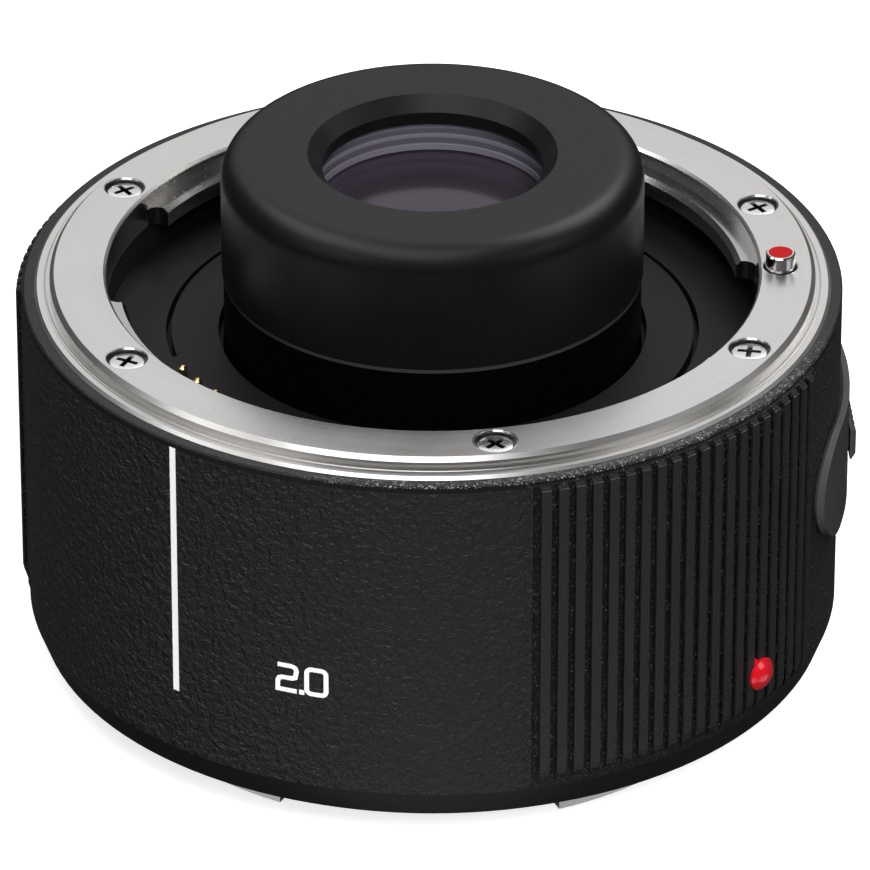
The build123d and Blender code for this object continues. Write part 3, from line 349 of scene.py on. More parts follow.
def barrel_paint(name):
    finish = Finish(name)
    radius, angle, height = finish.polar()
    pads = [finish.band(angle, *ends, PAD_SOFT) for ends in PAD_ANGLES]
    on_pad = pads[0] + pads[1] + pads[2]
    land = on_pad * finish.step(radius, *LAND_FROM)
    groove = on_pad * (1 - finish.step(radius, *GROOVE_TO)) * finish.step(radius, *GROOVE_FROM)
    top_strip = on_pad * finish.step(height, *STRIP_FROM)
    skin = finish.noise(0.62 * MM, 2.0, distortion=0.5)
    fine = finish.noise(0.22 * MM, 3.0)
    broad = finish.noise(7 * MM, 2.0)
    leather = skin * 0.75 + fine * 0.25
    glitter = finish.step(finish.noise(0.19 * MM, 2.0), 0.50, 0.66)
    plain = (1 - land) * (1 - groove) * (1 - top_strip)
    colour = finish.blend(leather, grey(0.005, 0.01), grey(0.013, 0.0))
    colour = finish.blend(land, colour, grey(0.012, -0.03))
    colour = finish.blend(groove + top_strip * (1 - groove), colour, grey(0.003))
    # Painted glints: the flecks of grit get a lighter colour that stands in for their shine; their
    # lower roughness is real.
    painted_glints = glitter * (groove * 0.9 + top_strip * 0.6)
    colour = finish.blend(painted_glints, colour, grey(0.045, -0.05))
    rough = 0.46 + (skin - 0.5) * 0.25 * plain + (broad - 0.5) * 0.2
    rough = rough + land * 0.02 + (groove + top_strip) * 0.2 - glitter * groove * 0.2
    grit = fine * 0.2 * (1 - plain) + glitter * 0.5 * (groove + top_strip)
    return finish.shade(
        Base_Color=colour,
        Roughness=rough,
        Normal=finish.bump(leather * plain + grit, PAINT_RELIEF, 1.0),
        Specular_IOR_Level=0.4,
    )


wear(barrel_paint("barrel_paint"), "outer_barrel")

# %% [markdown]
# The other black pieces have an even, finer grain. They differ in tone, roughness and in how
# much they mirror, which is the gloss, so one function makes them all. Grain sizes and
# depths are in millimetres.


# %% Smooth black paints
def smooth_black(name, tone, rough, grain_size=0.3, grain_depth=0.01, warmth=0.0, gloss=0.22):
    finish = Finish(name)
    grain = finish.noise(grain_size * MM, 3.0)
    cloud = finish.noise(8 * MM, 2.0)
    mixed = grain * 0.6 + cloud * 0.4
    return finish.shade(
        Base_Color=finish.blend(mixed, grey(tone * 0.82, warmth), grey(tone * 1.18, warmth)),
        Roughness=rough + (grain - 0.5) * 0.12 + (cloud - 0.5) * 0.06,
        Normal=finish.bump(grain, grain_depth * MM, 0.5),
        Specular_IOR_Level=gloss,
    )


wear(smooth_black("cover_paint", 0.006, 0.42, warmth=0.09), "rear_cover")
wear(smooth_black("hood_paint", 0.0045, 0.38, 0.22, 0.012, gloss=0.17), "front_hood")
wear(smooth_black("seam_ring_satin", 0.03, 0.3, 0.2), "hood_seam_ring")
plate_paint = smooth_black("release_plate_paint", 0.052, 0.5, 0.25, 0.04, gloss=0.2)
wear(plate_paint, "release_plate", "release_knob")
wear(smooth_black("neck_black", 0.0008, 0.5, warmth=0.05, gloss=0.04), "lens_barrel")
cell_rings = ("front_retaining_ring", "front_spacer", "rear_spacer", "rear_retaining_ring")
wear(smooth_black("inner_black", 0.006, 0.6), "chassis", *cell_rings)

# %% [markdown]
# The floor of the throat and the camera-side baffle are moulded in matte black plastic with
# a dull, even grain. The seal is rubber: duller still.

# %% Matte plastics and rubber
floor_plastic = smooth_black("throat_floor_plastic", 0.003, 0.55, 0.2, warmth=-0.03, gloss=0.15)
wear(floor_plastic, "throat_floor_inner", "throat_floor_outer", "lens_contact_block")
baffle_plastic = smooth_black("baffle_plastic", 0.012, 0.7, 0.3, 0.02)
wear(baffle_plastic, "rear_baffle", "camera_contact_block", "release_slider")
wear(smooth_black("seal_rubber", 0.012, 0.8, 0.4, 0.02), "camera_seal")
wear(smooth_black("chip_black", 0.02, 0.6, 0.2), "controller_chip", "memory_chip")

# %% [markdown]
# Contacts are plated with gold, the bead is glossy red lacquer, and the disc in the lock pin
# is a matte red. Inside, hidden but there, are a green circuit board and amber film. Each
# has a colour that a noise varies between a dark and a light one, and a shine of its own.


# %% Gold, red lacquer, board and film
def coloured(name, dark, light, rough, metallic=0.0, coat=0.0, gloss=0.5):
    finish = Finish(name)
    grain = finish.noise(0.3 * MM, 3.0)
    return finish.shade(
        Base_Color=finish.blend(grain, (*dark, 1), (*light, 1)),
        Metallic=metallic,
        Roughness=rough + (grain - 0.5) * 0.1,
        Coat_Weight=coat,
        Coat_Roughness=0.06,
        Specular_IOR_Level=gloss,
        Normal=finish.bump(grain, 0.002 * MM, 0.4),
    )


gold = coloured("contact_gold", (0.72, 0.48, 0.2), (0.95, 0.72, 0.38), 0.2, metallic=1.0)
wear(gold, "lens_contact_pins", "camera_contacts")
bead_red = coloured("bead_red", (0.5, 0.003, 0.01), (0.66, 0.006, 0.016), 0.25, coat=1.0)
wear(bead_red, "index_bead")
mark_red = coloured("mark_red", (0.42, 0.006, 0.009), (0.5, 0.008, 0.012), 0.5, gloss=0.05)
wear(mark_red, "lock_pin_mark")
wear(coloured("board_green", (0.01, 0.09, 0.04), (0.02, 0.15, 0.07), 0.4), "main_board")
film = coloured("film_amber", (0.42, 0.18, 0.03), (0.6, 0.28, 0.06), 0.4)
wear(film, "lens_contact_flex", "camera_contact_flex")

# %% [markdown]
# ## Glass
# The front element has a violet anti-reflection coating. Most of what a photograph shows of
# such a lens is the tinted mirror image of the studio on it, over a dark bore. So the glass
# is a smooth shader that lets part of the light straight through, with a high reflection.


# %% Coated and inner glass
def lens_glass(name, tint, cover, reflection, index):
    finish = Finish(name)
    haze = finish.noise(4 * MM, 2.0)
    return finish.shade(
        Base_Color=finish.blend(haze, (*[value * 0.8 for value in tint], 1), (*tint, 1)),
        Roughness=0.09 + haze * 0.04,
        Alpha=cover + haze * 0.06,
        IOR=index,
        Specular_Tint=(*reflection, 1),
    )


coated_glass = lens_glass("coated_glass", (0.050, 0.039, 0.056), 0.62, (0.86, 0.72, 0.92), 1.58)
wear(coated_glass, "front_glass", "seventh_glass")
inner_glass = lens_glass("inner_glass", (0.012, 0.012, 0.018), 0.35, (0.6, 0.7, 0.65), 1.5)
inner_five = ("second_glass", "third_glass", "fourth_glass", "fifth_glass", "sixth_glass")
wear(inner_glass, *inner_five)

# %% [markdown]
# ## Meshes made one by one
# New pieces start as bmesh data: points and faces are listed by a formula, then the mesh
# becomes an object. Turned forms come from one profile that goes round the axis.


# %% Helpers that make meshes
def linked_object(name, builder):
    """Turns bmesh data into an object of the scene."""
    mesh = bpy.data.meshes.new(name)
    bmesh.ops.recalc_face_normals(builder, faces=builder.faces)
    builder.to_mesh(mesh)
    builder.free()
    made = bpy.data.objects.new(name, mesh)
    bpy.context.scene.collection.objects.link(made)
    return made


def piece(name, builder, material, body="converter", smooth=35):
    """A new object with a material, that rides on a body."""
    new = linked_object(name, builder)
    new.data.materials.append(material)
    new.data.shade_smooth()
    new.data.set_sharp_from_angle(angle=radians(smooth))
    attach(new, body)
    print(name, "has", len(new.data.polygons), "faces")
    return new


def turned(builder, profile, steps, matrix=None):
    """Closed ring surface from a closed profile of (radius, height) points."""
    rings = []
    for i in range(steps):
        turn = 2 * pi * i / steps
        ring = [Vector((r * cos(turn), r * sin(turn), h)) for r, h in profile]
        rings.append([builder.verts.new(matrix @ point if matrix else point) for point in ring])
    for i, ring in enumerate(rings):
        after = rings[(i + 1) % steps]
        for j in range(len(profile)):
            k = (j + 1) % len(profile)
            builder.faces.new((ring[j], after[j], after[k], ring[k]))


# %% [markdown]
# ## Edges of the lens-side ring
# The ring's outer edge is what the light draws most sharply: a chamfer, a low wall, a ledge
# with a fine groove, and a second chamfer at the lip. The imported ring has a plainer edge, so
# a welded copy of it is turned down by a cutter, as a lathe would do it, and stands in its
# place. The copy is welded first, because a boolean needs a closed surface.


# %% Cutting with booleans
def cut_away(body, *cutters):
    """Mesh of a body after each cutter has taken its part away."""
    blank = linked_object("blank", body)
    tools = [linked_object(f"cutter_{i}", cutter) for i, cutter in enumerate(cutters)]
    for tool in tools:
        cut = blank.modifiers.new("cut", "BOOLEAN")
        cut.operation = "DIFFERENCE"
        cut.solver = "EXACT"
        cut.object = tool
    bpy.context.view_layer.update()
    shaped = blank.evaluated_get(bpy.context.evaluated_depsgraph_get())
    mesh = bpy.data.meshes.new_from_object(shaped)
    for spare in [blank] + tools:
        bpy.data.objects.remove(spare)
    return mesh


def packed_copy(name):
    """Welded copy of a CAD node's faces, without its stored corner normals."""
    mesh = nodes[name].data.copy()
    mesh.attributes.remove(mesh.attributes["custom_normal"])
    made = bmesh.new()
    made.from_mesh(mesh)
    bpy.data.meshes.remove(mesh)
    bmesh.ops.remove_doubles(made, verts=made.verts, dist=0.001 * MM)
    return made


# %% [markdown]
# The cutter is a turned form too. Its profile follows the wanted edge from the face down to
# the lip, and goes back outside the ring. Radii and heights are in millimetres, and heights
# count from the ring's face.

# %% Trimmed ring
RING_EDGE = [
    (32.36, 0.30), (32.66, 0.0), (33.03, -0.37), (33.03, -0.96), (33.38, -0.96), (33.46, -1.05),
    (33.54, -0.96), (34.06, -0.96), (34.40, -1.30), (34.40, -1.60), (35.20, -1.60), (35.20, 0.30),
]
TINY_EDGE = 0.0005 * MM


def ring_profile(points):
    """Closed profile from radii and heights in millimetres, from the ring's face."""
    return [(r * MM, FLANGE_GAP + h * MM) for r, h in points]


def trimmed_ring():
    outside = bmesh.new()
    turned(outside, ring_profile(RING_EDGE), 360)
    mesh = cut_away(packed_copy("lens_mount_ring"), outside)
    made = bmesh.new()
    made.from_mesh(mesh)
    bpy.data.meshes.remove(mesh)
    bmesh.ops.remove_doubles(made, verts=made.verts, dist=TINY_EDGE)
    bmesh.ops.dissolve_degenerate(made, edges=made.edges, dist=TINY_EDGE)
    loose = [edge for edge in made.edges if len(edge.link_faces) != 2]
    print("open edges of the trimmed ring:", len(loose))
    ring = piece("lens_ring", made, ring_steel, smooth=22)
    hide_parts("lens_mount_ring")


trimmed_ring()

# %% [markdown]
# The barrel's top corner stands beside the lip as a narrow black shoulder. Grit stands up in
# its paint as a relief. Its glitter is painted: light flecks in the colour, only from the front
# round to the right, where the light grazes it.

# %% Shoulder of the barrel
SHOULDER_CORNER = [
    (34.43, -1.41), (34.43, -1.33), (35.24, -1.33), (35.39, -1.48), (35.39, -2.03), (34.79, -1.42),
]
GLINT_HEIGHTS = (FLANGE_GAP - 1.62 * MM, FLANGE_GAP - 1.5 * MM)
GLINT_ANGLES = (-104, -20)


def shoulder():
    finish = Finish("shoulder_paint_and_glints")
    _, angle, height = finish.polar()
    corner_only = finish.step(height, *GLINT_HEIGHTS)
    glint_side = finish.band(angle, *GLINT_ANGLES, 8.0)
    grit = finish.noise(0.16 * MM, 2.0)
    lumps = finish.noise(0.5 * MM, 2.0)
    # Painted glints: light flecks in the colour, only on the side that the light grazes.
    fleck = finish.step(grit * 0.7 + lumps * 0.3, 0.55, 0.62) * corner_only * glint_side
    material = finish.shade(
        Base_Color=finish.blend(fleck, grey(0.005, 0.03), grey(0.26, -0.08)),
        Roughness=0.5 - fleck * 0.25,
        Normal=finish.bump(grit, 0.12 * MM, 0.8),
        Specular_IOR_Level=0.25,
    )
    made = bmesh.new()
    turned(made, ring_profile(SHOULDER_CORNER), 240)
    rim = piece("barrel_shoulder", made, material, smooth=25)


shoulder()

# %% [markdown]
# ## Screws with a cross recess
# A mount screw is a low cylinder with a slightly crowned, bevelled head and a cross for the
# driver. The CAD screws are plain cylinders, so these stand in their places. The cross is
# cut with a boolean, once, into one head, and the head is then copied to every hole.

# %% One screw head, cut by a cross
HEAD_RADIUS, HEAD_HEIGHT = 1.52 * MM, 0.9 * MM
SHANK_RADIUS, SHANK_LENGTH = 0.8 * MM, 4.6 * MM
BEVEL, CROWN, AXIS_HOLE = 0.14 * MM, 0.05 * MM, 0.02 * MM
CROSS_REACH, CROSS_HALF_WIDTH, CROSS_TAPER = 1.12 * MM, 0.25 * MM, 0.72
CROSS_FLOOR, CROSS_OVERRUN = -0.6 * MM, 0.3 * MM
BLOCK_FACES = ((3, 2, 1, 0), (4, 5, 6, 7), (0, 1, 5, 4), (1, 2, 6, 5), (2, 3, 7, 6), (3, 0, 4, 7))


def cross_bar(half_x, half_y):
    """Block that narrows toward the floor of the recess."""
    builder = bmesh.new()
    corners = []
    for height, share in ((CROSS_FLOOR, CROSS_TAPER), (CROSS_OVERRUN, 1.0)):
        for sx, sy in ((-1, -1), (1, -1), (1, 1), (-1, 1)):
            corners.append(builder.verts.new((sx * half_x * share, sy * half_y * share, height)))
    for face in BLOCK_FACES:
        builder.faces.new([corners[i] for i in face])
    return builder


def screw_mesh():
    """A whole screw with its axis on Z and the top of its head at 0."""
    body = bmesh.new()
    profile = [
        (AXIS_HOLE, 0),
        (HEAD_RADIUS * 0.55, -CROWN * 0.3),
        (HEAD_RADIUS - BEVEL, -CROWN),
        (HEAD_RADIUS - BEVEL * 0.3, -CROWN - BEVEL * 0.3),
        (HEAD_RADIUS, -CROWN - BEVEL),
        (HEAD_RADIUS, -HEAD_HEIGHT),
        (SHANK_RADIUS, -HEAD_HEIGHT),
        (SHANK_RADIUS, -HEAD_HEIGHT - SHANK_LENGTH),
        (AXIS_HOLE, -HEAD_HEIGHT - SHANK_LENGTH),
    ]
    turned(body, profile, 48)
    along = cross_bar(CROSS_REACH, CROSS_HALF_WIDTH)
    across = cross_bar(CROSS_HALF_WIDTH, CROSS_REACH)
    return cut_away(body, along, across)


mount_screw = screw_mesh()
print("screw faces:", len(mount_screw.polygons))

# %% [markdown]
# No one leaves all the crosses of a ring turned alike, so each screw has a turn of its own.
# The heads lie a little below the face of their ring, and on the camera side they point down.

# %% Copies of the screw in every hole
HEAD_SINK = 0.22 * MM
LENS_SCREW_TURNS = (12, 40, 62, 31, 35.1, 20)
CAMERA_SCREW_TURNS = (5, 33, 60, 80, 47)


def upright(angle, height, turn, flip):
    """Matrix that puts a screw on a mount ring, head outward."""
    spin = Matrix.Rotation(radians(angle + turn), 4, "Z")
    over = Matrix.Rotation(pi, 4, "X") if flip else Matrix()
    return Matrix.Translation(place(SCREW_CIRCLE, angle, height)) @ spin @ over


def screw_set(name, angles, height, flip, turns, replaced):
    """All the screws of one ring as one piece."""
    joined = bmesh.new()
    for angle, turn in zip(angles, turns):
        copy = mount_screw.copy()
        copy.transform(upright(angle, height, turn, flip))
        joined.from_mesh(copy)
        bpy.data.meshes.remove(copy)
    made = piece(name, joined, recessed_steel, smooth=30)
    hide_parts(replaced)


lens_heads, camera_heads = FLANGE_GAP - HEAD_SINK, HEAD_SINK
screw_set(
    "lens_ring_screws", LENS_SCREW_ANGLES, lens_heads, False, LENS_SCREW_TURNS,
    "lens_mount_screws",
)
screw_set(
    "camera_ring_screws", CAMERA_SCREW_ANGLES, camera_heads, True, CAMERA_SCREW_TURNS,
    "camera_mount_screws",
)

# %% [markdown]
# Each hole in the ring has a small polished chamfer that catches the light as a thin bright
# rim. It is a slim turned ring that sits in the mouth of the counterbore.

# %% Polished mouths of the counterbores
COUNTERBORE = 1.8 * MM
LOCK_HOLE, LOCK_CIRCLE = 1.52 * MM, 30.0 * MM
LIP = 0.13 * MM


def hole_rims(name, angles, circle, face, radius, outward):
    """Slim chamfer rings round the holes of a face."""
    made = bmesh.new()
    profile = [
        (radius - 0.01 * MM, -outward * LIP * 1.2),
        (radius + LIP, outward * 0.012 * MM),
        (radius + LIP * 0.4, outward * 0.02 * MM),
        (radius - 0.05 * MM, -outward * LIP * 0.7),
    ]
    for angle in angles:
        turned(made, profile, 48, Matrix.Translation(place(circle, angle, face)))
    rims = piece(name, made, pin_steel, smooth=50)


hole_rims("lens_ring_hole_rims", LENS_SCREW_ANGLES, SCREW_CIRCLE, FLANGE_GAP, COUNTERBORE, 1)
hole_rims("camera_ring_hole_rims", CAMERA_SCREW_ANGLES, SCREW_CIRCLE, 0.0, COUNTERBORE, -1)
hole_rims("lock_hole_rim", (0,), LOCK_CIRCLE, FLANGE_GAP, LOCK_HOLE, 1)

# %% [markdown]
# ## The coil under the lock pin
# When the release is pushed, the pin sinks and its coil spring shortens. A rigid coil would
# stand inside the pin's collar then. This one has the imported spring's size. Like the real one
# it is drawn wire, wound into an even helix, so it is made as one tube along a helix.

# %% Coil spring
COIL_WIRE, COIL_TURNS = 0.16 * MM, 3
WIRE_SIDES, STEPS_PER_TURN = 8, 24


def coil_spring():
    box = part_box("lock_pin_spring")
    low, high = box[0][2] + COIL_WIRE, box[1][2] - COIL_WIRE
    winding = (box[1][1] - box[0][1]) / 2 - COIL_WIRE
    middle_x = (box[0][0] + box[1][0]) / 2
    slope = (high - low) / (2 * pi * winding * COIL_TURNS)
    sides = [2 * pi * j / WIRE_SIDES for j in range(WIRE_SIDES)]
    count = COIL_TURNS * STEPS_PER_TURN
    made = bmesh.new()
    rows = []
    for i in range(count + 1):
        turn = 2 * pi * i / STEPS_PER_TURN
        out = Vector((cos(turn), sin(turn), 0))
        along = Vector((-sin(turn), cos(turn), slope)).normalized()
        across = along.cross(out)
        spot = Vector((middle_x, 0, low + (high - low) * i / count)) + out * winding
        rim = [spot + (out * cos(side) + across * sin(side)) * COIL_WIRE for side in sides]
        rows.append([made.verts.new(point) for point in rim])
    for one, two in zip(rows, rows[1:]):
        for j in range(WIRE_SIDES):
            k = (j + 1) % WIRE_SIDES
            made.faces.new((one[j], one[k], two[k], two[j]))
    made.faces.new(rows[0][::-1])
    made.faces.new(rows[-1])
    coil = piece("lock_pin_coil", made, spring_steel, smooth=60)
    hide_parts("lock_pin_spring")
    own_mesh(coil)
    print("coil length", round((box[1][2] - box[0][2]) / MM, 2), "mm")


coil_spring()

# %% [markdown]
# ## Printed marks
# White marks are screen-printed on the barrel. They also glow a little, which is painted
# light. Each is a thin strip that follows the round wall, about a hundredth of a millimetre
# proud. The long line shows where a lens is lined up, and the numeral is plain.


# %% White print with a painted glow
def glowing_white_ink():
    finish = Finish("glowing_white_ink")
    patch = finish.noise(0.4 * MM, 3.0)
    return finish.shade(
        Base_Color=finish.blend(patch, grey(0.72), grey(0.86)),
        Roughness=0.55 + (patch - 0.5) * 0.1,
        # Painted light: the print glows a little, so that it stays white.
        Emission_Color=finish.blend(patch, grey(0.9), grey(1.0)),
        Emission_Strength=0.3,
        Normal=finish.bump(patch, 0.004 * MM, 0.4),
    )


glowing_ink = glowing_white_ink()
print("ink:", glowing_ink.name)

# %% [markdown]
# A stroke is drawn flat first, as a path of unrolled places on the wall. At each point the
# band gets its two sides, and a corner is mitred so that the band keeps its width. Then every
# point is rolled onto the barrel.

# %% Strokes printed on the round wall
PRINT_LIFT = 0.012 * MM
DEGREE = BARREL_RADIUS * pi / 180
ARC_STEP, ARC_POINTS = 15, 7


def stroke(builder, path, width):
    """Flat band along a path of (angle in degrees, height) points on the barrel."""
    flat = [Vector((angle * DEGREE, height)) for angle, height in path]
    closed = (flat[0] - flat[-1]).length < 0.0001 * MM
    if closed:
        flat = flat[:-1]
    sides = []
    count = len(flat)
    for i, point in enumerate(flat):
        before = flat[i - 1] if i or closed else None
        after = flat[(i + 1) % count] if i < count - 1 or closed else None
        first = ((point - before) if before is not None else (after - point)).normalized()
        second = (after - point).normalized() if after is not None else first
        across = Vector((-(first + second).y, (first + second).x)).normalized()
        reach = width / 2 / max(0.5, across.dot(Vector((-first.y, first.x))))
        sides.append((point + across * reach, point - across * reach))

    def wall(spot, rise):
        rolled = place(BARREL_RADIUS + rise, spot.x / DEGREE, spot.y)
        return builder.verts.new(rolled)

    rows = [
        [wall(a, PRINT_LIFT), wall(b, PRINT_LIFT), wall(b, -PRINT_LIFT), wall(a, -PRINT_LIFT)]
        for a, b in sides
    ]
    for i in range(count if closed else count - 1):
        one, two = rows[i], rows[(i + 1) % count]
        for j in range(4):
            k = (j + 1) % 4
            builder.faces.new((one[j], one[k], two[k], two[j]))
    if not closed:
        builder.faces.new(rows[0])
        builder.faces.new(rows[-1][::-1])


def rounded_loop(centre_angle, centre_height, half_width, half_height, corner):
    """Closed path of a rounded rectangle on the wall, as (angle, height) points."""
    path = []
    for sx, sy, start in ((1, 1, 0), (-1, 1, 90), (-1, -1, 180), (1, -1, 270)):
        for i in range(ARC_POINTS):
            turn = radians(start + ARC_STEP * i)
            x = sx * (half_width - corner) + corner * cos(turn)
            y = sy * (half_height - corner) + corner * sin(turn)
            path.append((centre_angle + x / DEGREE, centre_height + y))
    return path + [path[0]]


print("one degree of the wall is", round(DEGREE / MM, 3), "mm")

# %% [markdown]
# The numeral has the squared, rounded shapes of figures cut with one pen. A 2 is a single
# open stroke with three rounded corners, and a 0 is a rounded loop.

# %% The index line and the numeral
LINE_ANGLE, LINE_WIDTH = 232.1, 0.62 * MM
LINE_LOW, LINE_HIGH, LINE_PARTS = FLANGE_GAP - 25.7 * MM, FLANGE_GAP - 1.9 * MM, 6
TWO_ANGLE, POINT_ANGLE, ZERO_ANGLE = 249.8, 251.9, 254.0
FIGURE_MIDDLE = FLANGE_GAP - 21.2 * MM
HALF_TALL, HALF_WIDE, CORNER, INK_WIDTH = 1.2 * MM, 0.85 * MM, 0.42 * MM, 0.42 * MM
POINT_SIZE = INK_WIDTH * 1.1


def rounding(middle_x, middle_y, turns):
    """Points of a rounded corner at some turns round its middle."""
    return [(middle_x + CORNER * cos(turn), middle_y + CORNER * sin(turn)) for turn in turns]


def figure_two(centre):
    """The numeral 2 as one open stroke."""
    inset = HALF_WIDE - CORNER
    points = [(-HALF_WIDE, HALF_TALL)]
    points += rounding(inset, HALF_TALL - CORNER, (pi / 2, pi / 4, 0))
    points += rounding(inset, CORNER * 1.02, (-pi / 4, -pi / 2))
    points += rounding(-inset, -CORNER, (pi / 2, 3 * pi / 4, pi))
    points += [(-HALF_WIDE, -HALF_TALL), (HALF_WIDE, -HALF_TALL)]
    return [(centre + x / DEGREE, FIGURE_MIDDLE + y) for x, y in points]


marks = bmesh.new()
rise = (LINE_HIGH - LINE_LOW) / LINE_PARTS
stroke(marks, [(LINE_ANGLE, LINE_LOW + rise * i) for i in range(LINE_PARTS + 1)], LINE_WIDTH)
stroke(marks, figure_two(TWO_ANGLE), INK_WIDTH)
point_low = FIGURE_MIDDLE - HALF_TALL - INK_WIDTH / 2
stroke(marks, [(POINT_ANGLE, point_low), (POINT_ANGLE, point_low + POINT_SIZE)], POINT_SIZE)
stroke(marks, rounded_loop(ZERO_ANGLE, FIGURE_MIDDLE, HALF_WIDE, HALF_TALL, CORNER), INK_WIDTH)
printed = piece("printed_marks", marks, glowing_ink, smooth=60)

# %% [markdown]
# ## Front lens in its stepped cell
# The real front element is a thin bowl of glass that sits low in its cell, and the wall of
# the cell above it is cut in steps against stray light. The CAD glass is a solid plug, so a
# lens with a domed face and a hollow back stands in its place, and a stepped ring lies on
# its rim. The lens is a profile that goes round the axis and has both ends on it.

# %% Front lens
LENS_APEX = FLANGE_GAP + 6.85 * MM
LENS_SEAT = FLANGE_GAP + 4.0 * MM
LENS_CURVE, LENS_RIM, LENS_VIEW = 55.0 * MM, 11.55 * MM, 9.95 * MM
LENS_THICKNESS, BACK_SHARE = 2.0 * MM, 0.9
DOME_POINTS, HOLLOW_POINTS, LENS_STEPS = 20, 17, 120


def spun(builder, profile, steps):
    """Surface from an open profile whose first and last points lie on the axis."""
    ends = [builder.verts.new((0, 0, profile[i][1])) for i in (0, -1)]
    rings = []
    for i in range(steps):
        turn = 2 * pi * i / steps
        ring = [(r * cos(turn), r * sin(turn), h) for r, h in profile[1:-1]]
        rings.append([builder.verts.new(point) for point in ring])
    for i, ring in enumerate(rings):
        after = rings[(i + 1) % steps]
        for j in range(len(ring) - 1):
            builder.faces.new((ring[j], after[j], after[j + 1], ring[j + 1]))
        builder.faces.new((ends[0], after[0], ring[0]))
        builder.faces.new((ring[-1], after[-1], ends[1]))


def dome(top, curve, reach, count):
    """Points of an arc that is highest on the axis, from the axis to a reach."""
    radii = [reach * i / count for i in range(count + 1)]
    return [(r, top - curve + sqrt(curve * curve - r * r)) for r in radii]


def front_lens():
    face = dome(LENS_APEX, LENS_CURVE, LENS_VIEW, DOME_POINTS)
    back_apex = LENS_APEX - LENS_THICKNESS
    hollow = [(r, back_apex - (LENS_APEX - h) * BACK_SHARE) for r, h in face[:HOLLOW_POINTS]]
    ledge = face[-1][1]
    rim = [(LENS_RIM, ledge), (LENS_RIM, LENS_SEAT)]
    made = bmesh.new()
    spun(made, face + rim + hollow[::-1], LENS_STEPS)
    lens = piece("front_lens", made, coated_glass, smooth=30)
    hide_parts("front_glass")
    print("lens ledge at", round(ledge / MM, 2), "mm")


front_lens()

# %% [markdown]
# The steps of the cell catch light on some bands of height and stay dark between them. This
# light and shade is painted into the colour as bands, so that it stays even all round.

# %% Steps of the cell above the lens
CELL_TOP = FLANGE_GAP + 8.5 * MM
LIT_BANDS = ((-0.44, 0.1), (-1.26, -0.94), (-2.4, -1.86))
CELL_PAINTED_SHADE, CELL_PAINTED_LIGHT = (0.058, 0.052, 0.070, 1), (0.115, 0.107, 0.134, 1)
CELL_INNER = [
    (10.30, 0.0), (10.22, -0.42), (10.22, -0.9), (10.12, -0.98), (10.08, -1.22),
    (10.08, -1.8), (9.98, -1.9), (9.93, -2.4),
]
CELL_OUTER = [(11.5, -2.4), (11.5, -1.1), (12.25, -1.1), (12.25, 0.0)]


def cell_steps():
    finish = Finish("cell_step_painted_light")
    _, _, height = finish.polar()
    grain = finish.noise(0.3 * MM, 2.0)
    # Painted light and shade: lighter bands of height where the steps catch light, darker between
    # them.
    bands = [
        finish.band(height, CELL_TOP + low * MM, CELL_TOP + high * MM, 0.05 * MM)
        for low, high in LIT_BANDS
    ]
    lit = bands[0] + bands[1] + bands[2]
    material = finish.shade(
        Base_Color=finish.blend(lit * 0.9 + grain * 0.1, CELL_PAINTED_SHADE, CELL_PAINTED_LIGHT),
        Roughness=0.5 + grain * 0.1,
        Normal=finish.bump(grain, 0.004 * MM, 0.4),
    )
    made = bmesh.new()
    profile = [(r * MM, CELL_TOP + h * MM) for r, h in CELL_INNER + CELL_OUTER]
    turned(made, profile, 120)
    steps = piece("cell_steps", made, material, smooth=25)
    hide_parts("front_retaining_ring")


cell_steps()

# %% [markdown]
# ## Light table
# The photograph was taken on white with large soft lights, so metal shows broad pale
# reflections with dark stripes between them, and black paint stays black. A white floor
# with a glow of its own keeps the shadow faint. It is seen by the camera alone: what the
# steel would mirror of it comes from panels, whose brightness can be chosen.

# %% Floor
FLOOR_HEIGHT = cad_box[0][2] - 0.02 * MM
FLOOR_HALF = 4
FLOOR_GLOW = 0.75


def floor_white():
    finish = Finish("table_white")
    patch = finish.noise(0.4, 2.0)
    return finish.shade(
        Base_Color=finish.blend(patch, grey(0.86), grey(0.88)),
        Roughness=0.9,
        Emission_Color=grey(1.0),
        Emission_Strength=FLOOR_GLOW,
    )


table = bmesh.new()
for sx, sy in ((-1, -1), (1, -1), (1, 1), (-1, 1)):
    table.verts.new((sx * FLOOR_HALF, sy * FLOOR_HALF, FLOOR_HEIGHT))
table.faces.new(table.verts)
table_mesh = bpy.data.meshes.new("table")
table.to_mesh(table_mesh)
table.free()
table_mesh.materials.append(floor_white())
floor = bpy.data.objects.new("table", table_mesh)
bpy.context.scene.collection.objects.link(floor)
floor.visible_glossy = False
floor.visible_diffuse = False
floor.visible_shadow = False
print("floor at", round(FLOOR_HEIGHT / MM, 2), "mm")

# %% [markdown]
# A soft box is an area light. On polished steel it is seen as a shape, so it is placed by the
# direction in which the steel mirrors it, and its size is an angle. Eight narrow panels
# behind the object make a backdrop that grows brighter upward.

# %% Backdrop
LIGHTS_MIDDLE = Vector((0, 0, 0.03))
BACK_PANELS, BACK_REACH, BACK_SPREAD, BACK_TALL = 8, 1.7, 90, 7
BACK_RISE, BACK_TONE, BACK_TONE_STEP = 10, 0.45, 0.155


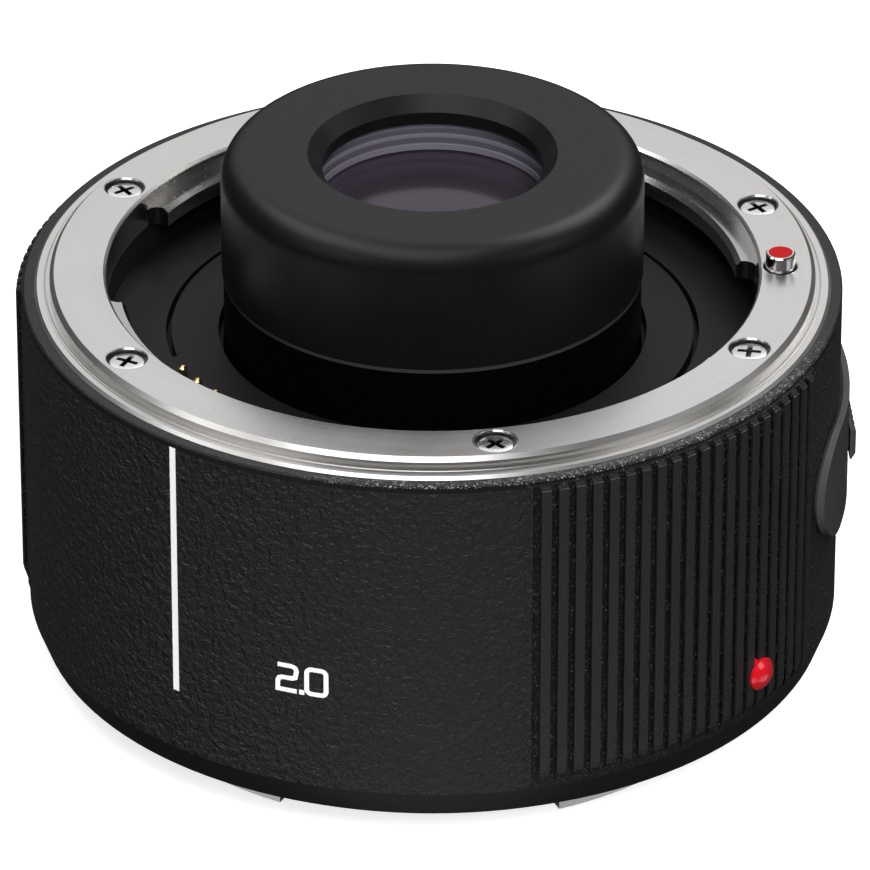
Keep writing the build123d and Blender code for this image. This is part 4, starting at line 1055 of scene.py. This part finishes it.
def soft_box(name, turn, rise, reach, spread, tall, tone):
    """Even panel in a direction, as wide and tall as two angles say, of a given brightness."""
    data = bpy.data.lights.new(name, "AREA")
    data.shape = "RECTANGLE"
    data.size = 2 * reach * sin(radians(spread) / 2)
    data.size_y = 2 * reach * sin(radians(tall) / 2)
    data.energy = tone * pi * data.size * data.size_y
    lamp = bpy.data.objects.new(name, data)
    away = place(reach * cos(radians(rise)), turn, reach * sin(radians(rise)))
    lamp.location = LIGHTS_MIDDLE + away
    lamp.rotation_euler = (radians(90 - rise), 0, radians(turn + 90))
    bpy.context.scene.collection.objects.link(lamp)
    return lamp


for row in range(BACK_PANELS):
    rise, tone = BACK_RISE + BACK_TALL * row, BACK_TONE + BACK_TONE_STEP * row
    soft_box(f"back_panel_{row}", 90, rise, BACK_REACH, BACK_SPREAD, BACK_TALL, tone)
print("backdrop of", BACK_PANELS, "panels")

# %% [markdown]
# These panels show only in mirror images: they give the steel its pale stretches and the
# black pieces their sheen, and leave the floor as it is. The three at the end stand for the
# bright table.
# Each row says a turn round the axis, a rise, a width, a height and a tone.

# %% Panels that show only in reflections
MIRRORED_REACH = 1.4
for name, turn, rise, spread, tall, tone in (
    ("overhead_panel", -108.8, 71, 42, 40, 4.0),
    ("left_panel", 162, 57, 40, 28, 5.0),
    ("right_panel", 42, 50, 34, 32, 6.0),
    ("left_front_panel", -146, 29, 36, 22, 1.7),
    ("right_front_panel", -24, 29, 30, 20, 1.7),
    ("table_glow_left", -148, -30, 40, 24, 0.8),
    ("table_glow_front", -96, -30, 46, 24, 0.5),
    ("table_glow_right", -22, -30, 40, 24, 0.8),
):
    mirrored = soft_box(name, turn, rise, MIRRORED_REACH, spread, tall, tone)
    mirrored.visible_diffuse = False
    mirrored.visible_camera = False
print("mirrored panels end with", mirrored.name)

# %% [markdown]
# The key light does the opposite: it lights the paint and isn't mirrored. A low one lies on
# the table in front and faces up, as the white table throws light back at the barrel. The
# world adds a little cool fill from everywhere.

# %% Key light, bounce and fill
KEY_DIRECTION, KEY_REACH, KEY_SPREAD, KEY_TALL, KEY_TONE = (-80, 42), 1.3, 26, 22, 26.0
BOUNCE_REACH, BOUNCE_SPREAD, BOUNCE_TALL, BOUNCE_TONE = 0.048, 130, 30, 0.45
FILL_COLOUR, FILL_STRENGTH = (0.9, 0.92, 0.95, 1), 0.06

key = soft_box("key_box", *KEY_DIRECTION, KEY_REACH, KEY_SPREAD, KEY_TALL, KEY_TONE)
key.visible_glossy = False
bounce = soft_box("bounce", -90, 0, BOUNCE_REACH, BOUNCE_SPREAD, BOUNCE_TALL, BOUNCE_TONE)
bounce.location.z = cad_box[0][2] + 0.1 * MM
bounce.rotation_euler = (pi, 0, 0)
bounce.visible_camera = False

world = bpy.data.worlds.new("studio")
bpy.context.scene.world = world
world.use_nodes = True
background = world.node_tree.nodes["Background"]
background.inputs["Color"].default_value = FILL_COLOUR
background.inputs["Strength"].default_value = FILL_STRENGTH
bpy.context.scene.view_settings.view_transform = "Standard"
bpy.context.scene.view_settings.look = "None"
bpy.context.scene.view_settings.exposure = 0.0
